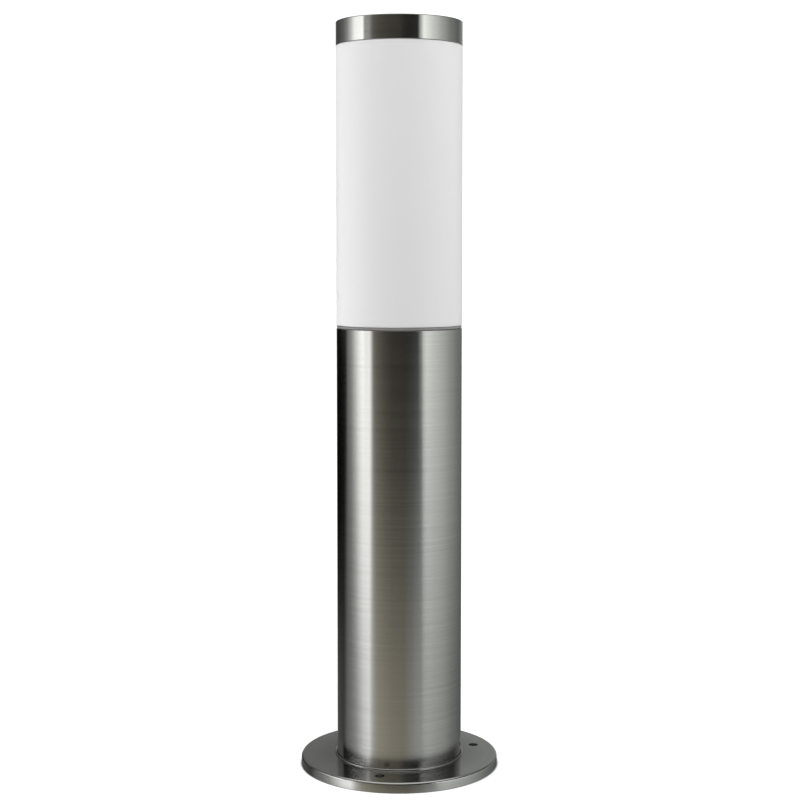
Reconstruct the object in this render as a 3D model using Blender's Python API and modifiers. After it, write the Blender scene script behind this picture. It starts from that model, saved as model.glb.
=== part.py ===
"""Bollard light: a brushed steel tube on a round flange, with an opal head plugged into its mouth.

Run it with blender --background --python part.py, or from the Text Editor. Metres, +Z up.
The origin is the centre of the base, on the ground. -Y is the front.
The pieces form four groups, each under its own empty on the common Z axis: the post stands
still, the collar turns in the tube, the head lifts out of the collar, the lamp out of its holder.
"""

import math

import bmesh
import bpy
from mathutils import Euler, Matrix, Vector

MM = 0.001
GAP = 0.3 * MM  # clearance between pieces that touch

# Overall
TOTAL_HEIGHT = 450.0 * MM
TUBE_RADIUS = 38.0 * MM  # shared by the tube, the diffuser and the cap
TUBE_WALL = 1.2 * MM
TUBE_TOP = 267.8 * MM
EDGE_BREAK = 0.2 * MM  # chamfer on the cut edges of tube, ring and cap

# Base flange: a pressed dish with a slightly flared rim and a lip round the tube
FLANGE_RADIUS = 60.3 * MM
FLANGE_HEIGHT = 6.0 * MM
FLANGE_SHEET = 1.4 * MM
FLANGE_FLARE = 0.3 * MM  # how much wider the rim is at the ground
FLANGE_SHOULDER = 1.3 * MM  # radius of the rounded edge
LIP_THICKNESS = 0.9 * MM
LIP_HEIGHT = 1.2 * MM  # above the flange's top face
LIP_ROUND = 0.35 * MM

# Fixing holes through flange and plate
HOLE_COUNT = 3
HOLE_CIRCLE_RADIUS = 48.3 * MM
HOLE_RADIUS = 2.9 * MM
FIRST_HOLE_ANGLE = 16.3  # degrees from +X towards +Y

# Base plate and its cable bush
PLATE_RADIUS = 57.8 * MM
PLATE_THICKNESS = 4.2 * MM
CABLE_HOLE_RADIUS = 10.0 * MM
GROMMET_BORE_RADIUS = 4.6 * MM
GROMMET_FLANGE_RADIUS = 13.0 * MM
GROMMET_FLANGE = 2.0 * MM

# Seat ring: its lip lies on the tube's end, its skirt lines the tube's mouth
RING_LIP = 1.2 * MM
RING_LIP_RADIUS = 37.75 * MM
RING_SKIRT_RADIUS = 36.5 * MM
RING_BORE_RADIUS = 35.6 * MM
RING_SKIRT_DEPTH = 24.0 * MM  # below the tube's end

# Diffuser: shade with a closed roof, a stepped top under the cap and a plug neck with two seals
SHADE_WALL = 2.8 * MM
SHADE_EDGE = 0.4 * MM
NECK_RADIUS = 35.1 * MM
NECK_BORE_RADIUS = 31.0 * MM
NECK_DEPTH = 23.6 * MM  # below the shoulder that stands on the seat ring
SHOULDER_THICKNESS = 3.4 * MM
ROOF_THICKNESS = 2.8 * MM
ROOF_RADIUS = 36.4 * MM
SEAL_RADIUS = 1.0 * MM  # of the seal's own section
SEAL_OUTER_RADIUS = 35.4 * MM
SEAL_SIDES = 6  # of the seal's section
SEAL_DEPTHS = {"upper": 9.0 * MM, "lower": 16.5 * MM}  # below the shoulder

# Cap: a drawn cup over the diffuser's roof
CAP_HEIGHT = 14.0 * MM
CAP_SHEET = 1.2 * MM
CAP_EDGE_RADIUS = 1.0 * MM
GASKET_RADII = (26.0 * MM, 33.0 * MM)
GASKET_THICKNESS = 1.4 * MM

# Bracket: a strap across the tube on two welded tabs, with a leg for the terminals
STRAP_TOP = 236.0 * MM
STRAP_SHEET = 1.5 * MM
STRAP_LENGTH = 70.0 * MM
STRAP_WIDTH = 18.0 * MM
LEG_FOOT = 190.0 * MM
LEG_WIDTH = 53.0 * MM
LEG_X = 4.5 * MM  # middle of the leg
LEG_BACK = -12.0 * MM  # y of its outer face
LEG_BEND = 2.25 * MM
LEG_OVERLAP = 3.0 * MM  # how far the leg's sheet runs into the strap
TAB_SCREW_X = 30.5 * MM
TAB_REACH = (24.5 * MM, 35.6 * MM)  # x of the tab's inner edge and of its outer face
TAB_WIDTH = 14.0 * MM
TAB_SHEET = 2.0 * MM
TAB_DROP = 14.0 * MM
TAB_BEND = 2.0 * MM

# Lampholder for a 27 mm Edison screw
HOLDER_HEIGHT = 50.0 * MM
HOLDER_RADIUS = 20.5 * MM
HOLDER_FOOT_RADIUS = 23.2 * MM
HOLDER_FOOT_HEIGHT = 17.5 * MM
HOLDER_EDGE = 1.2 * MM
HOLDER_BORE_RADIUS = 14.6 * MM
HOLDER_FLOOR = 21.2 * MM  # above the holder's foot
HOLDER_SCREW_X = 14.0 * MM
HOLDER_SCREW_HOLE_DEPTH = 11.0 * MM
WIRE_HOLE = Vector((8.0, 16.5, 0.0)) * MM
WIRE_HOLE_DEPTH = 10.0 * MM
SHELL_RADII = (13.7 * MM, 14.3 * MM)
SHELL_SPAN = (26.7 * MM, 48.0 * MM)  # above the holder's foot
CONTACT_WIDTH = 6.0 * MM
CONTACT_REACH = 10.2 * MM  # from the axis to its fixed end
CONTACT_SHEET = 0.5 * MM
CONTACT_RISE = 2.4 * MM

# Lamp: a pear-shaped LED lamp. Heights are above its foot, the contact's underside
LAMP_FOOT = 261.3 * MM
LAMP_LENGTH = 104.0 * MM
LAMP_RADIUS = 28.0 * MM
GLOBE_WALL = 1.2 * MM
GLOBE_FOOT = 61.0 * MM
LAMP_NECK_RADIUS = 13.7 * MM
LAMP_CAP_RADIUS = 13.1 * MM
LAMP_CAP_WALL = 0.9 * MM
LAMP_CAP_SPAN = (4.6 * MM, 25.5 * MM)
LAMP_CAP_TAPER = 2.8 * MM  # height of its drawn-in foot
INSULATOR_SPAN = (1.7 * MM, 8.0 * MM)
INSULATOR_RADIUS = 10.4 * MM
INSULATOR_RIM = 1.0 * MM  # from the cap's foot up to the insulator's full radius
LAMP_CONTACT_RADIUS = 4.6 * MM
BODY_STEPS = 6  # along the body's flare
BODY_FLARE_POWER = 1.2  # over 1 keeps the flare close to the globe
BOARD_RADIUS = 21.4 * MM
BOARD_THICKNESS = 1.4 * MM

# Terminal block: three poles side by side on the leg
POLES = {"live": -14.0 * MM, "neutral": -3.0 * MM, "earth": 8.0 * MM}  # x of each pole
BLOCK_SIZE = Vector((34.0, 14.0, 18.0)) * MM
BLOCK_FOOT = 196.0 * MM
BLOCK_EDGE = 0.5 * MM
POLE_DEPTH = 5.7 * MM  # from the leg to the wires' axis
BARREL_SIDE = 5.0 * MM
BARREL_LENGTH = 16.0 * MM
BARREL_BORE_RADIUS = 1.35 * MM
CLAMP_SPACING = 10.0 * MM  # between a pole's two screws
CLAMP_RADIUS = 1.2 * MM
CLAMP_SINK = 1.2 * MM  # from the block's face down to a clamp screw
BLOCK_SCREW_X = -8.5 * MM

# Earth screw on the leg
EARTH_X = 25.0 * MM
EARTH_Z = 202.0 * MM
RING_TERMINAL_RADIUS = 4.0 * MM
RING_TERMINAL_SHEET = 0.8 * MM
CRIMP_RADIUS = 1.9 * MM
CRIMP_BORE_RADIUS = 1.35 * MM
CRIMP_SPAN = (5.5 * MM, 11.0 * MM)  # above the earth screw's axis
CRIMP_OFFSET = 2.3 * MM  # from the leg to the crimp's axis
TONGUE_WIDTH = 3.0 * MM  # of the sheet between ring and crimp
TONGUE_SPAN = (3.0 * MM, 7.5 * MM)  # above the earth screw's axis
WASHER_RADIUS = 4.2 * MM
WASHER_THICKNESS = 0.8 * MM
NUT_RADIUS = 4.04 * MM  # across corners, halved
NUT_HEIGHT = 3.2 * MM

# Screws: shaft radius, head radius, head height, radius of the clearance hole
M4 = (1.9 * MM, 3.6 * MM, 2.4 * MM, 2.3 * MM)
M3 = (1.4 * MM, 2.7 * MM, 2.0 * MM, 1.8 * MM)
SLOT_WIDTH = 0.8 * MM
SLOT_DEPTH = 1.0 * MM
BRACKET_SCREW_LENGTH = 9.0 * MM
HOLDER_SCREW_LENGTH = 10.0 * MM
BLOCK_SCREW_LENGTH = 18.0 * MM
EARTH_SCREW_LENGTH = 9.0 * MM

WIRE_RADIUS = 1.0 * MM
WIRE_SPACING = 2.5 * MM  # between the points of a wire
# Routes: share of the way from the pole to the wire's far end in x and in y, height in millimetres
SUPPLY_ROUTE = [(0, 0, 207), (0, 0, 212), (0, 0, 217.5), (0.1, 0.15, 223), (0.5, 0.51, 227.5)]
SUPPLY_ROUTE += [(0.85, 0.84, 229.5), (1, 0.98, 233), (1, 1, 237), (1, 1, 243)]
EARTH_ROUTE = [(0, 0, 207), (0, 0, 212), (0, 0, 217), (0.18, 0, 222.5), (0.5, 0.29, 225)]
EARTH_ROUTE += [(0.82, 0.71, 221.5), (1, 1, 216), (1, 1, 208.5)]

LARGE = 48  # segments of the large round pieces
MEDIUM = 24
SMALL = 10
SHARP_ANGLE = 35.0  # degrees, an edge sharper than this one stays sharp
BORE_EXTRA = 1.0 * MM  # how far a cutter runs past the piece it cuts

# Worked out from the dimensions above
FLANGE_BORE_RADIUS = TUBE_RADIUS + GAP
TUBE_FOOT = PLATE_THICKNESS + GAP
TUBE_BORE_RADIUS = TUBE_RADIUS - TUBE_WALL
RING_FOOT = TUBE_TOP - RING_SKIRT_DEPTH
RING_HEIGHT = RING_SKIRT_DEPTH + GAP + RING_LIP
SHOULDER_Z = RING_FOOT + RING_HEIGHT + GAP
NECK_FOOT = SHOULDER_Z - NECK_DEPTH
CAP_FOOT = TOTAL_HEIGHT - CAP_HEIGHT
GASKET_FOOT = TOTAL_HEIGHT - CAP_SHEET - GAP - GASKET_THICKNESS
ROOF_TOP = GASKET_FOOT - GAP
LEG_FRONT = LEG_BACK + STRAP_SHEET
HOLDER_FOOT = STRAP_TOP + GAP
BLOCK_FRONT = LEG_FRONT + GAP + BLOCK_SIZE.y
BLOCK_Z = BLOCK_FOOT + BLOCK_SIZE.z / 2
BLOCK_MIDDLE = Vector((POLES["neutral"], BLOCK_FRONT - BLOCK_SIZE.y / 2, BLOCK_Z))
POLE_Y = LEG_FRONT + POLE_DEPTH
CRIMP_Y = LEG_FRONT + CRIMP_OFFSET

# Turns of a piece's own +Z
UPWARDS = Euler((0, 0, 0))
DOWNWARDS = Euler((math.pi, 0, 0))
TO_BACK = Euler((-math.pi / 2, 0, 0))  # towards +Y


# Scene and materials


def clear_scene():
    for obj in list(bpy.data.objects):
        bpy.data.objects.remove(obj, do_unlink=True)


def new_collection(name):
    collection = bpy.data.collections.new(name)
    bpy.context.scene.collection.children.link(collection)
    return collection


def new_material(name, colour, roughness, metallic):
    material = bpy.data.materials.new(name)
    material.use_nodes = True
    shader = material.node_tree.nodes["Principled BSDF"]
    shader.inputs["Base Color"].default_value = (*colour, 1.0)
    shader.inputs["Roughness"].default_value = roughness
    shader.inputs["Metallic"].default_value = metallic
    material.diffuse_color = (*colour, 1.0)
    return material


def place(obj, at, turn, material):
    """Puts a piece in the collection of parts or, without a material, a cutter in that of cutters."""
    for collection in list(obj.users_collection):
        collection.objects.unlink(obj)
    obj.location = at
    obj.rotation_euler = turn
    if material:
        parts.objects.link(obj)
        obj.data.materials.append(material)
    else:
        cutters.objects.link(obj)
        obj.hide_render = True
        obj.display_type = "WIRE"
    return obj


# Shapes. Each one without a material is a cutter


def arc(centre, radius, start, end, steps):
    """Points (radius, z) along an arc, from start to end in degrees. 0 is outwards, 90 is up."""
    angles = [math.radians(start + (end - start) * step / steps) for step in range(steps + 1)]
    return [(centre[0] + radius * math.cos(a), centre[1] + radius * math.sin(a)) for a in angles]


def turned(name, outline, at, material=None, turn=UPWARDS, segments=LARGE):
    """A turned piece. Its outline of (radius, z) runs outwards along the top, then down outside.

    An outline that starts on the axis ends there too, and any other one is closed to a ring.
    """
    mesh = bpy.data.meshes.new(name)
    edges = [(i, i + 1) for i in range(len(outline) - 1)]
    if outline[0][0] > 0:
        edges.append((len(outline) - 1, 0))
    mesh.from_pydata([(radius, 0, z) for radius, z in outline], edges, [])
    obj = bpy.data.objects.new(name, mesh)
    sweep = obj.modifiers.new("Turn", "SCREW")
    sweep.steps = sweep.render_steps = segments
    sweep.use_merge_vertices = True
    sweep.merge_threshold = 0.001 * MM
    return place(obj, at, turn, material)


def cylinder(name, radius, length, middle, material=None, turn=UPWARDS, segments=SMALL):
    bpy.ops.mesh.primitive_cylinder_add(vertices=segments, radius=radius, depth=length)
    obj = bpy.context.object
    obj.name = obj.data.name = name
    return place(obj, middle, turn, material)


def box(name, size, middle, material=None, turn=UPWARDS, bevel=0.0):
    bpy.ops.mesh.primitive_cube_add(size=1)
    obj = bpy.context.object
    obj.name = obj.data.name = name
    obj.data.transform(Matrix.Diagonal((*size, 1.0)))
    if bevel:
        rounding = obj.modifiers.new("Round edges", "BEVEL")
        rounding.width = bevel
    return place(obj, middle, turn, material)


def bent_sheet(name, path, width, thickness, at, material=None, turn=UPWARDS):
    """Sheet metal bent along a path of (x, z) through the middle of its thickness."""
    shape = bmesh.new()
    points = [shape.verts.new((x, -width / 2, z)) for x, z in path]
    edges = [shape.edges.new(pair) for pair in zip(points, points[1:])]
    swept = bmesh.ops.extrude_edge_only(shape, edges=edges)["geom"]
    moved = [item for item in swept if isinstance(item, bmesh.types.BMVert)]
    bmesh.ops.translate(shape, verts=moved, vec=(0, width, 0))
    mesh = bpy.data.meshes.new(name)
    shape.to_mesh(mesh)
    shape.free()
    obj = bpy.data.objects.new(name, mesh)
    sheet = obj.modifiers.new("Sheet", "SOLIDIFY")
    sheet.thickness = thickness
    sheet.offset = 0
    sheet.use_even_offset = True
    return place(obj, at, turn, material)


def combine(obj, operation, *others):
    for other in others:
        joined = obj.modifiers.new(other.name, "BOOLEAN")
        joined.operation = operation
        joined.solver = "EXACT"
        joined.object = other


def drill(obj, radius, length, middle, turn=UPWARDS, segments=SMALL):
    hole = cylinder(f"cut_{obj.name}", radius, length, middle, None, turn, segments)
    combine(obj, "DIFFERENCE", hole)


def screw(name, size, length, at, turn, material, pointed=False):
    """A pan-head screw with a slot. Its head stands on the point at, and its shaft goes below."""
    shaft, head, height, _ = size
    tip = shaft / 2 if pointed else shaft - EDGE_BREAK
    outline = [(0, height), *arc((head - height / 2, height / 2), height / 2, 90, 0, 2)]
    outline += [(head, 0), (shaft, 0), (shaft, shaft - length), (tip, -length), (0, -length)]
    obj = turned(name, outline, at, material, turn, SMALL)
    cut_slot(obj, head, at, turn, height)
    return obj


def cut_slot(obj, radius, at, turn, top):
    middle = Vector(at) + turn.to_matrix() @ Vector((0, 0, top))
    slot_size = (2 * radius + BORE_EXTRA, SLOT_WIDTH, 2 * SLOT_DEPTH)
    combine(obj, "DIFFERENCE", box(f"cut_{obj.name}", slot_size, middle, None, turn))


def smooth_route(knots):
    """Evenly spread points on a smooth curve through the knots (Catmull-Rom)."""
    knots = [Vector(knot) for knot in knots]
    ends = [2 * knots[0] - knots[1], *knots, 2 * knots[-1] - knots[-2]]
    route = []
    for before, start, end, after in zip(ends, ends[1:], ends[2:], ends[3:]):
        steps = max(1, round((end - start).length / WIRE_SPACING))
        linear = end - before
        square = 2 * before - 5 * start + 4 * end - after
        cube = 3 * start - before - 3 * end + after
        for t in (step / steps for step in range(steps)):
            route.append(start + (linear * t + square * t**2 + cube * t**3) / 2)
    return [*route, knots[-1]]


def wire(name, knots, material):
    """An insulated wire along a smooth route through its knots, given in millimetres."""
    route = smooth_route([Vector(knot) * MM for knot in knots])
    curve = bpy.data.curves.new(name, "CURVE")
    curve.dimensions = "3D"
    curve.bevel_depth = WIRE_RADIUS
    curve.bevel_resolution = 2
    curve.use_fill_caps = True
    spline = curve.splines.new("POLY")
    spline.points.add(len(route) - 1)
    for point, position in zip(spline.points, route):
        point.co = (*position, 1.0)
    return place(bpy.data.objects.new(name, curve), (0, 0, 0), UPWARDS, material)


# Post


def fixing_hole_cutters():
    cutters_made = []
    for number in range(HOLE_COUNT):
        angle = math.radians(FIRST_HOLE_ANGLE + number * 360 / HOLE_COUNT)
        direction = Vector((math.cos(angle), math.sin(angle), 0))
        middle = direction * HOLE_CIRCLE_RADIUS + Vector((0, 0, FLANGE_HEIGHT / 2))
        length = FLANGE_HEIGHT + 2 * BORE_EXTRA
        hole = cylinder("cut_fixing_hole", HOLE_RADIUS, length, middle, segments=2 * SMALL)
        cutters_made.append(hole)
    return cutters_made


def make_base():
    holes = fixing_hole_cutters()

    lip_radius = FLANGE_BORE_RADIUS + LIP_THICKNESS
    lip_top = FLANGE_HEIGHT + LIP_HEIGHT
    rim_top_radius = FLANGE_RADIUS - FLANGE_FLARE
    underside = FLANGE_HEIGHT - FLANGE_SHEET
    outline = [(FLANGE_BORE_RADIUS + EDGE_BREAK, lip_top)]
    outline += arc((lip_radius - LIP_ROUND, lip_top - LIP_ROUND), LIP_ROUND, 90, 0, 2)
    outline += arc((lip_radius + LIP_ROUND, FLANGE_HEIGHT + LIP_ROUND), LIP_ROUND, 180, 270, 2)
    shoulder_centre = (rim_top_radius - FLANGE_SHOULDER, FLANGE_HEIGHT - FLANGE_SHOULDER)
    outline += arc(shoulder_centre, FLANGE_SHOULDER, 90, 0, 4)
    outline += [(FLANGE_RADIUS, 0), (FLANGE_RADIUS - FLANGE_SHEET, 0)]
    outline += [(rim_top_radius - FLANGE_SHEET, underside), (FLANGE_BORE_RADIUS, underside)]
    outline += [(FLANGE_BORE_RADIUS, lip_top - EDGE_BREAK)]
    flange = turned("base_flange", outline, (0, 0, 0), steel)
    combine(flange, "DIFFERENCE", *holes)

    middle = (0, 0, PLATE_THICKNESS / 2)
    plate = cylinder("base_plate", PLATE_RADIUS, PLATE_THICKNESS, middle, zinc, segments=LARGE)
    combine(plate, "DIFFERENCE", *holes)
    drill(plate, CABLE_HOLE_RADIUS, 2 * PLATE_THICKNESS, middle, segments=MEDIUM)

    body_radius = CABLE_HOLE_RADIUS - GAP
    flange_foot = PLATE_THICKNESS + GAP
    top = flange_foot + GROMMET_FLANGE
    outline = [(GROMMET_BORE_RADIUS + GAP, top), (GROMMET_FLANGE_RADIUS - GAP, top)]
    outline += [(GROMMET_FLANGE_RADIUS, top - GAP), (GROMMET_FLANGE_RADIUS, flange_foot)]
    outline += [(body_radius, flange_foot), (body_radius, GAP)]
    outline += [(GROMMET_BORE_RADIUS, GAP), (GROMMET_BORE_RADIUS, top - GAP)]
    turned("cable_grommet", outline, (0, 0, 0), rubber, segments=MEDIUM)


def make_tube():
    length = TUBE_TOP - TUBE_FOOT
    outline = [(TUBE_BORE_RADIUS, length), (TUBE_RADIUS - EDGE_BREAK, length)]
    outline += [(TUBE_RADIUS, length - EDGE_BREAK), (TUBE_RADIUS, 0), (TUBE_BORE_RADIUS, 0)]
    turned("post_tube", outline, (0, 0, TUBE_FOOT), steel)


def make_bracket():
    strap_z = STRAP_TOP - STRAP_SHEET / 2
    strap_size = (STRAP_LENGTH, STRAP_WIDTH, STRAP_SHEET)
    bracket = box("socket_bracket", strap_size, (0, 0, strap_z), zinc)

    # The leg hangs from the strap's front edge. Its path is drawn along X and turned to -Y.
    leg_y = STRAP_SHEET / 2 - LEG_BACK - STRAP_SHEET
    leg_path = [(STRAP_WIDTH / 2 - LEG_OVERLAP, strap_z)]
    leg_path += arc((leg_y - LEG_BEND, strap_z - LEG_BEND), LEG_BEND, 90, 0, 4)
    leg_path += [(leg_y, LEG_FOOT)]
    to_front = Euler((0, 0, -math.pi / 2))
    leg = bent_sheet("bracket_leg", leg_path, LEG_WIDTH, STRAP_SHEET, (LEG_X, 0, 0), None, to_front)
    combine(bracket, "UNION", leg)

    clearance = M4[3]
    for x in (-TAB_SCREW_X, -HOLDER_SCREW_X, HOLDER_SCREW_X, TAB_SCREW_X):
        drill(bracket, clearance, 4 * STRAP_SHEET, (x, 0, strap_z))
    drill(bracket, clearance, 4 * STRAP_SHEET, (EARTH_X, -leg_y, EARTH_Z), TO_BACK)
    drill(bracket, M3[3], 4 * STRAP_SHEET, (BLOCK_SCREW_X, -leg_y, BLOCK_Z), TO_BACK)

    ledge_z = STRAP_TOP - STRAP_SHEET - GAP - TAB_SHEET / 2
    outer_x = TAB_REACH[1] - TAB_SHEET / 2
    tab_path = [(TAB_REACH[0], ledge_z)]
    tab_path += arc((outer_x - TAB_BEND, ledge_z - TAB_BEND), TAB_BEND, 90, 0, 3)
    tab_path += [(outer_x, ledge_z - TAB_DROP)]
    for side, name in ((1, "right"), (-1, "left")):
        turn = Euler((0, 0, 0 if side > 0 else math.pi))
        tab_name, screw_name = f"bracket_tab_{name}", f"bracket_screw_{name}"
        tab = bent_sheet(tab_name, tab_path, TAB_WIDTH, TAB_SHEET, (0, 0, 0), zinc, turn)
        screw_at = (side * TAB_SCREW_X, 0, STRAP_TOP + GAP)
        drill(tab, M4[3], 4 * TAB_SHEET, (side * TAB_SCREW_X, 0, ledge_z))
        screw(screw_name, M4, BRACKET_SCREW_LENGTH, screw_at, UPWARDS, bright_zinc)


def make_lampholder():
    outline = [(0, HOLDER_FLOOR), (HOLDER_BORE_RADIUS, HOLDER_FLOOR)]
    outline += [(HOLDER_BORE_RADIUS, HOLDER_HEIGHT - GAP), (HOLDER_BORE_RADIUS + GAP, HOLDER_HEIGHT)]
    outline += arc((HOLDER_RADIUS - HOLDER_EDGE, HOLDER_HEIGHT - HOLDER_EDGE), HOLDER_EDGE, 90, 0, 3)
    outline += [(HOLDER_RADIUS, HOLDER_FOOT_HEIGHT + HOLDER_EDGE)]
    outline += [(HOLDER_FOOT_RADIUS, HOLDER_FOOT_HEIGHT - HOLDER_EDGE)]
    outline += [(HOLDER_FOOT_RADIUS, HOLDER_EDGE), (HOLDER_FOOT_RADIUS - HOLDER_EDGE, 0), (0, 0)]
    at = Vector((0, 0, HOLDER_FOOT))
    holder = turned("lampholder_body", outline, at, porcelain, segments=MEDIUM)
    for side in (-1, 1):
        wire_hole = Vector((side * WIRE_HOLE.x, WIRE_HOLE.y, HOLDER_FOOT))
        screw_hole = Vector((side * HOLDER_SCREW_X, 0, HOLDER_FOOT))
        drill(holder, WIRE_RADIUS + 2 * GAP, 2 * WIRE_HOLE_DEPTH, wire_hole)
        drill(holder, M4[0] + GAP, 2 * HOLDER_SCREW_HOLE_DEPTH, screw_hole)
        name = "holder_screw_right" if side > 0 else "holder_screw_left"
        screw_at = (side * HOLDER_SCREW_X, 0, STRAP_TOP - STRAP_SHEET - GAP)
        screw(name, M4, HOLDER_SCREW_LENGTH, screw_at, DOWNWARDS, bright_zinc)

    inner, outer = SHELL_RADII
    low, high = SHELL_SPAN
    shell = [(inner, high), (outer, high), (outer, low), (inner, low)]
    turned("holder_thread_shell", shell, at, brass, segments=MEDIUM)

    floor_z = HOLDER_FOOT + HOLDER_FLOOR + GAP + CONTACT_SHEET / 2
    path = [(-CONTACT_REACH, 0), (-CONTACT_REACH / 2, 0), (0, CONTACT_RISE / 2)]
    path += [(CONTACT_REACH / 4, CONTACT_RISE), (CONTACT_REACH / 2, CONTACT_RISE)]
    bent_sheet("holder_centre_contact", path, CONTACT_WIDTH, CONTACT_SHEET, (0, 0, floor_z), brass)


def make_terminals():
    body = box("terminal_block", BLOCK_SIZE, BLOCK_MIDDLE, polyamide, bevel=BLOCK_EDGE)
    tunnel = BARREL_SIDE + 2 * GAP
    screw_number = 1
    for pole, x in POLES.items():
        axis = Vector((x, POLE_Y, BLOCK_Z))
        tunnel_size = (tunnel, tunnel, BLOCK_SIZE.z + BORE_EXTRA)
        combine(body, "DIFFERENCE", box("cut_tunnel", tunnel_size, axis))
        barrel_size = (BARREL_SIDE, BARREL_SIDE, BARREL_LENGTH)
        barrel = box(f"barrel_{pole}", barrel_size, axis, brass)
        drill(barrel, BARREL_BORE_RADIUS, 2 * BARREL_LENGTH, axis)
        for height in (CLAMP_SPACING / 2, -CLAMP_SPACING / 2):
            well = Vector((x, BLOCK_FRONT, axis.z + height))
            drill(body, CLAMP_RADIUS + 2 * GAP, 2 * (BLOCK_FRONT - POLE_Y), well, TO_BACK)
            hole = axis + Vector((0, BARREL_SIDE / 2, height))
            drill(barrel, CLAMP_RADIUS + GAP, BARREL_SIDE, hole, TO_BACK)
            tip = POLE_Y + WIRE_RADIUS + GAP
            top = BLOCK_FRONT - CLAMP_SINK
            middle = (x, (tip + top) / 2, axis.z + height)
            name = f"terminal_screw_{screw_number}"
            clamp = cylinder(name, CLAMP_RADIUS, top - tip, middle, bright_zinc, TO_BACK)
            cut_slot(clamp, CLAMP_RADIUS, middle, TO_BACK, (top - tip) / 2)
            screw_number += 1
    fixing = Vector((BLOCK_SCREW_X, BLOCK_MIDDLE.y, BLOCK_Z))
    drill(body, M3[3], 2 * BLOCK_SIZE.y, fixing, TO_BACK)
    head_at = (BLOCK_SCREW_X, BLOCK_FRONT + GAP, BLOCK_Z)
    screw("block_screw", M3, BLOCK_SCREW_LENGTH, head_at, TO_BACK, bright_zinc, pointed=True)


def make_earth_point():
    """Ring terminal, washer and screw on the leg's inner side, nut on its outer side."""
    ring_y = LEG_FRONT + GAP + RING_TERMINAL_SHEET / 2
    crimp_length = CRIMP_SPAN[1] - CRIMP_SPAN[0]
    ring_at = Vector((EARTH_X, ring_y, EARTH_Z))
    crimp_at = Vector((EARTH_X, CRIMP_Y, EARTH_Z + sum(CRIMP_SPAN) / 2))
    ring = cylinder(
        "earth_ring_terminal",
        RING_TERMINAL_RADIUS,
        RING_TERMINAL_SHEET,
        ring_at,
        copper,
        TO_BACK,
        segments=2 * SMALL,
    )
    tongue_size = (TONGUE_WIDTH, RING_TERMINAL_SHEET, TONGUE_SPAN[1] - TONGUE_SPAN[0])
    tongue_at = ring_at + Vector((0, 0, sum(TONGUE_SPAN) / 2))
    crimp = cylinder("crimp", CRIMP_RADIUS, crimp_length, crimp_at, segments=SMALL)
    combine(ring, "UNION", box("tongue", tongue_size, tongue_at), crimp)
    drill(ring, CRIMP_BORE_RADIUS, crimp_length + BORE_EXTRA, crimp_at)
    drill(ring, M4[3], 4 * RING_TERMINAL_SHEET, ring_at, TO_BACK)

    washer_foot = ring_y + RING_TERMINAL_SHEET / 2 + GAP
    outline = [(M4[3], WASHER_THICKNESS), (WASHER_RADIUS, WASHER_THICKNESS)]
    outline += [(WASHER_RADIUS, 0), (M4[3], 0)]
    washer_at = (EARTH_X, washer_foot, EARTH_Z)
    turned("earth_washer", outline, washer_at, bright_zinc, TO_BACK, segments=2 * SMALL)

    head_y = washer_foot + WASHER_THICKNESS + GAP
    head_at = (EARTH_X, head_y, EARTH_Z)
    screw("earth_screw", M4, EARTH_SCREW_LENGTH, head_at, TO_BACK, bright_zinc)

    nut_at = Vector((EARTH_X, LEG_BACK - GAP - NUT_HEIGHT / 2, EARTH_Z))
    nut = cylinder("earth_nut", NUT_RADIUS, NUT_HEIGHT, nut_at, bright_zinc, TO_BACK, segments=6)
    drill(nut, M4[3], 2 * NUT_HEIGHT, nut_at, TO_BACK)


def wire_knots(start, end, route):
    """Knots of a wire that runs from start to end, both (x, y) in metres."""
    start, end = Vector(start) / MM, Vector(end) / MM
    across = end - start
    return [(start.x + across.x * u, start.y + across.y * v, z) for u, v, z in route]


def make_wires():
    """Each wire starts in its barrel. Live and neutral end in the holder, earth in its crimp."""
    for name, side, insulation in (("live", -1, brown), ("neutral", 1, blue)):
        hole = (side * WIRE_HOLE.x, WIRE_HOLE.y)
        wire(f"{name}_wire", wire_knots((POLES[name], POLE_Y), hole, SUPPLY_ROUTE), insulation)
    knots = wire_knots((POLES["earth"], POLE_Y), (EARTH_X, CRIMP_Y), EARTH_ROUTE)
    wire("earth_wire", knots, green_yellow)


# Collar and head


def make_seat_ring():
    lip_foot = RING_SKIRT_DEPTH + GAP
    outline = [(RING_BORE_RADIUS, RING_HEIGHT), (RING_LIP_RADIUS - EDGE_BREAK, RING_HEIGHT)]
    outline += [(RING_LIP_RADIUS, RING_HEIGHT - EDGE_BREAK), (RING_LIP_RADIUS, lip_foot)]
    outline += [(RING_SKIRT_RADIUS, lip_foot), (RING_SKIRT_RADIUS, 0), (RING_BORE_RADIUS, 0)]
    turned("seat_ring", outline, (0, 0, RING_FOOT), grey_plastic)


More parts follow.
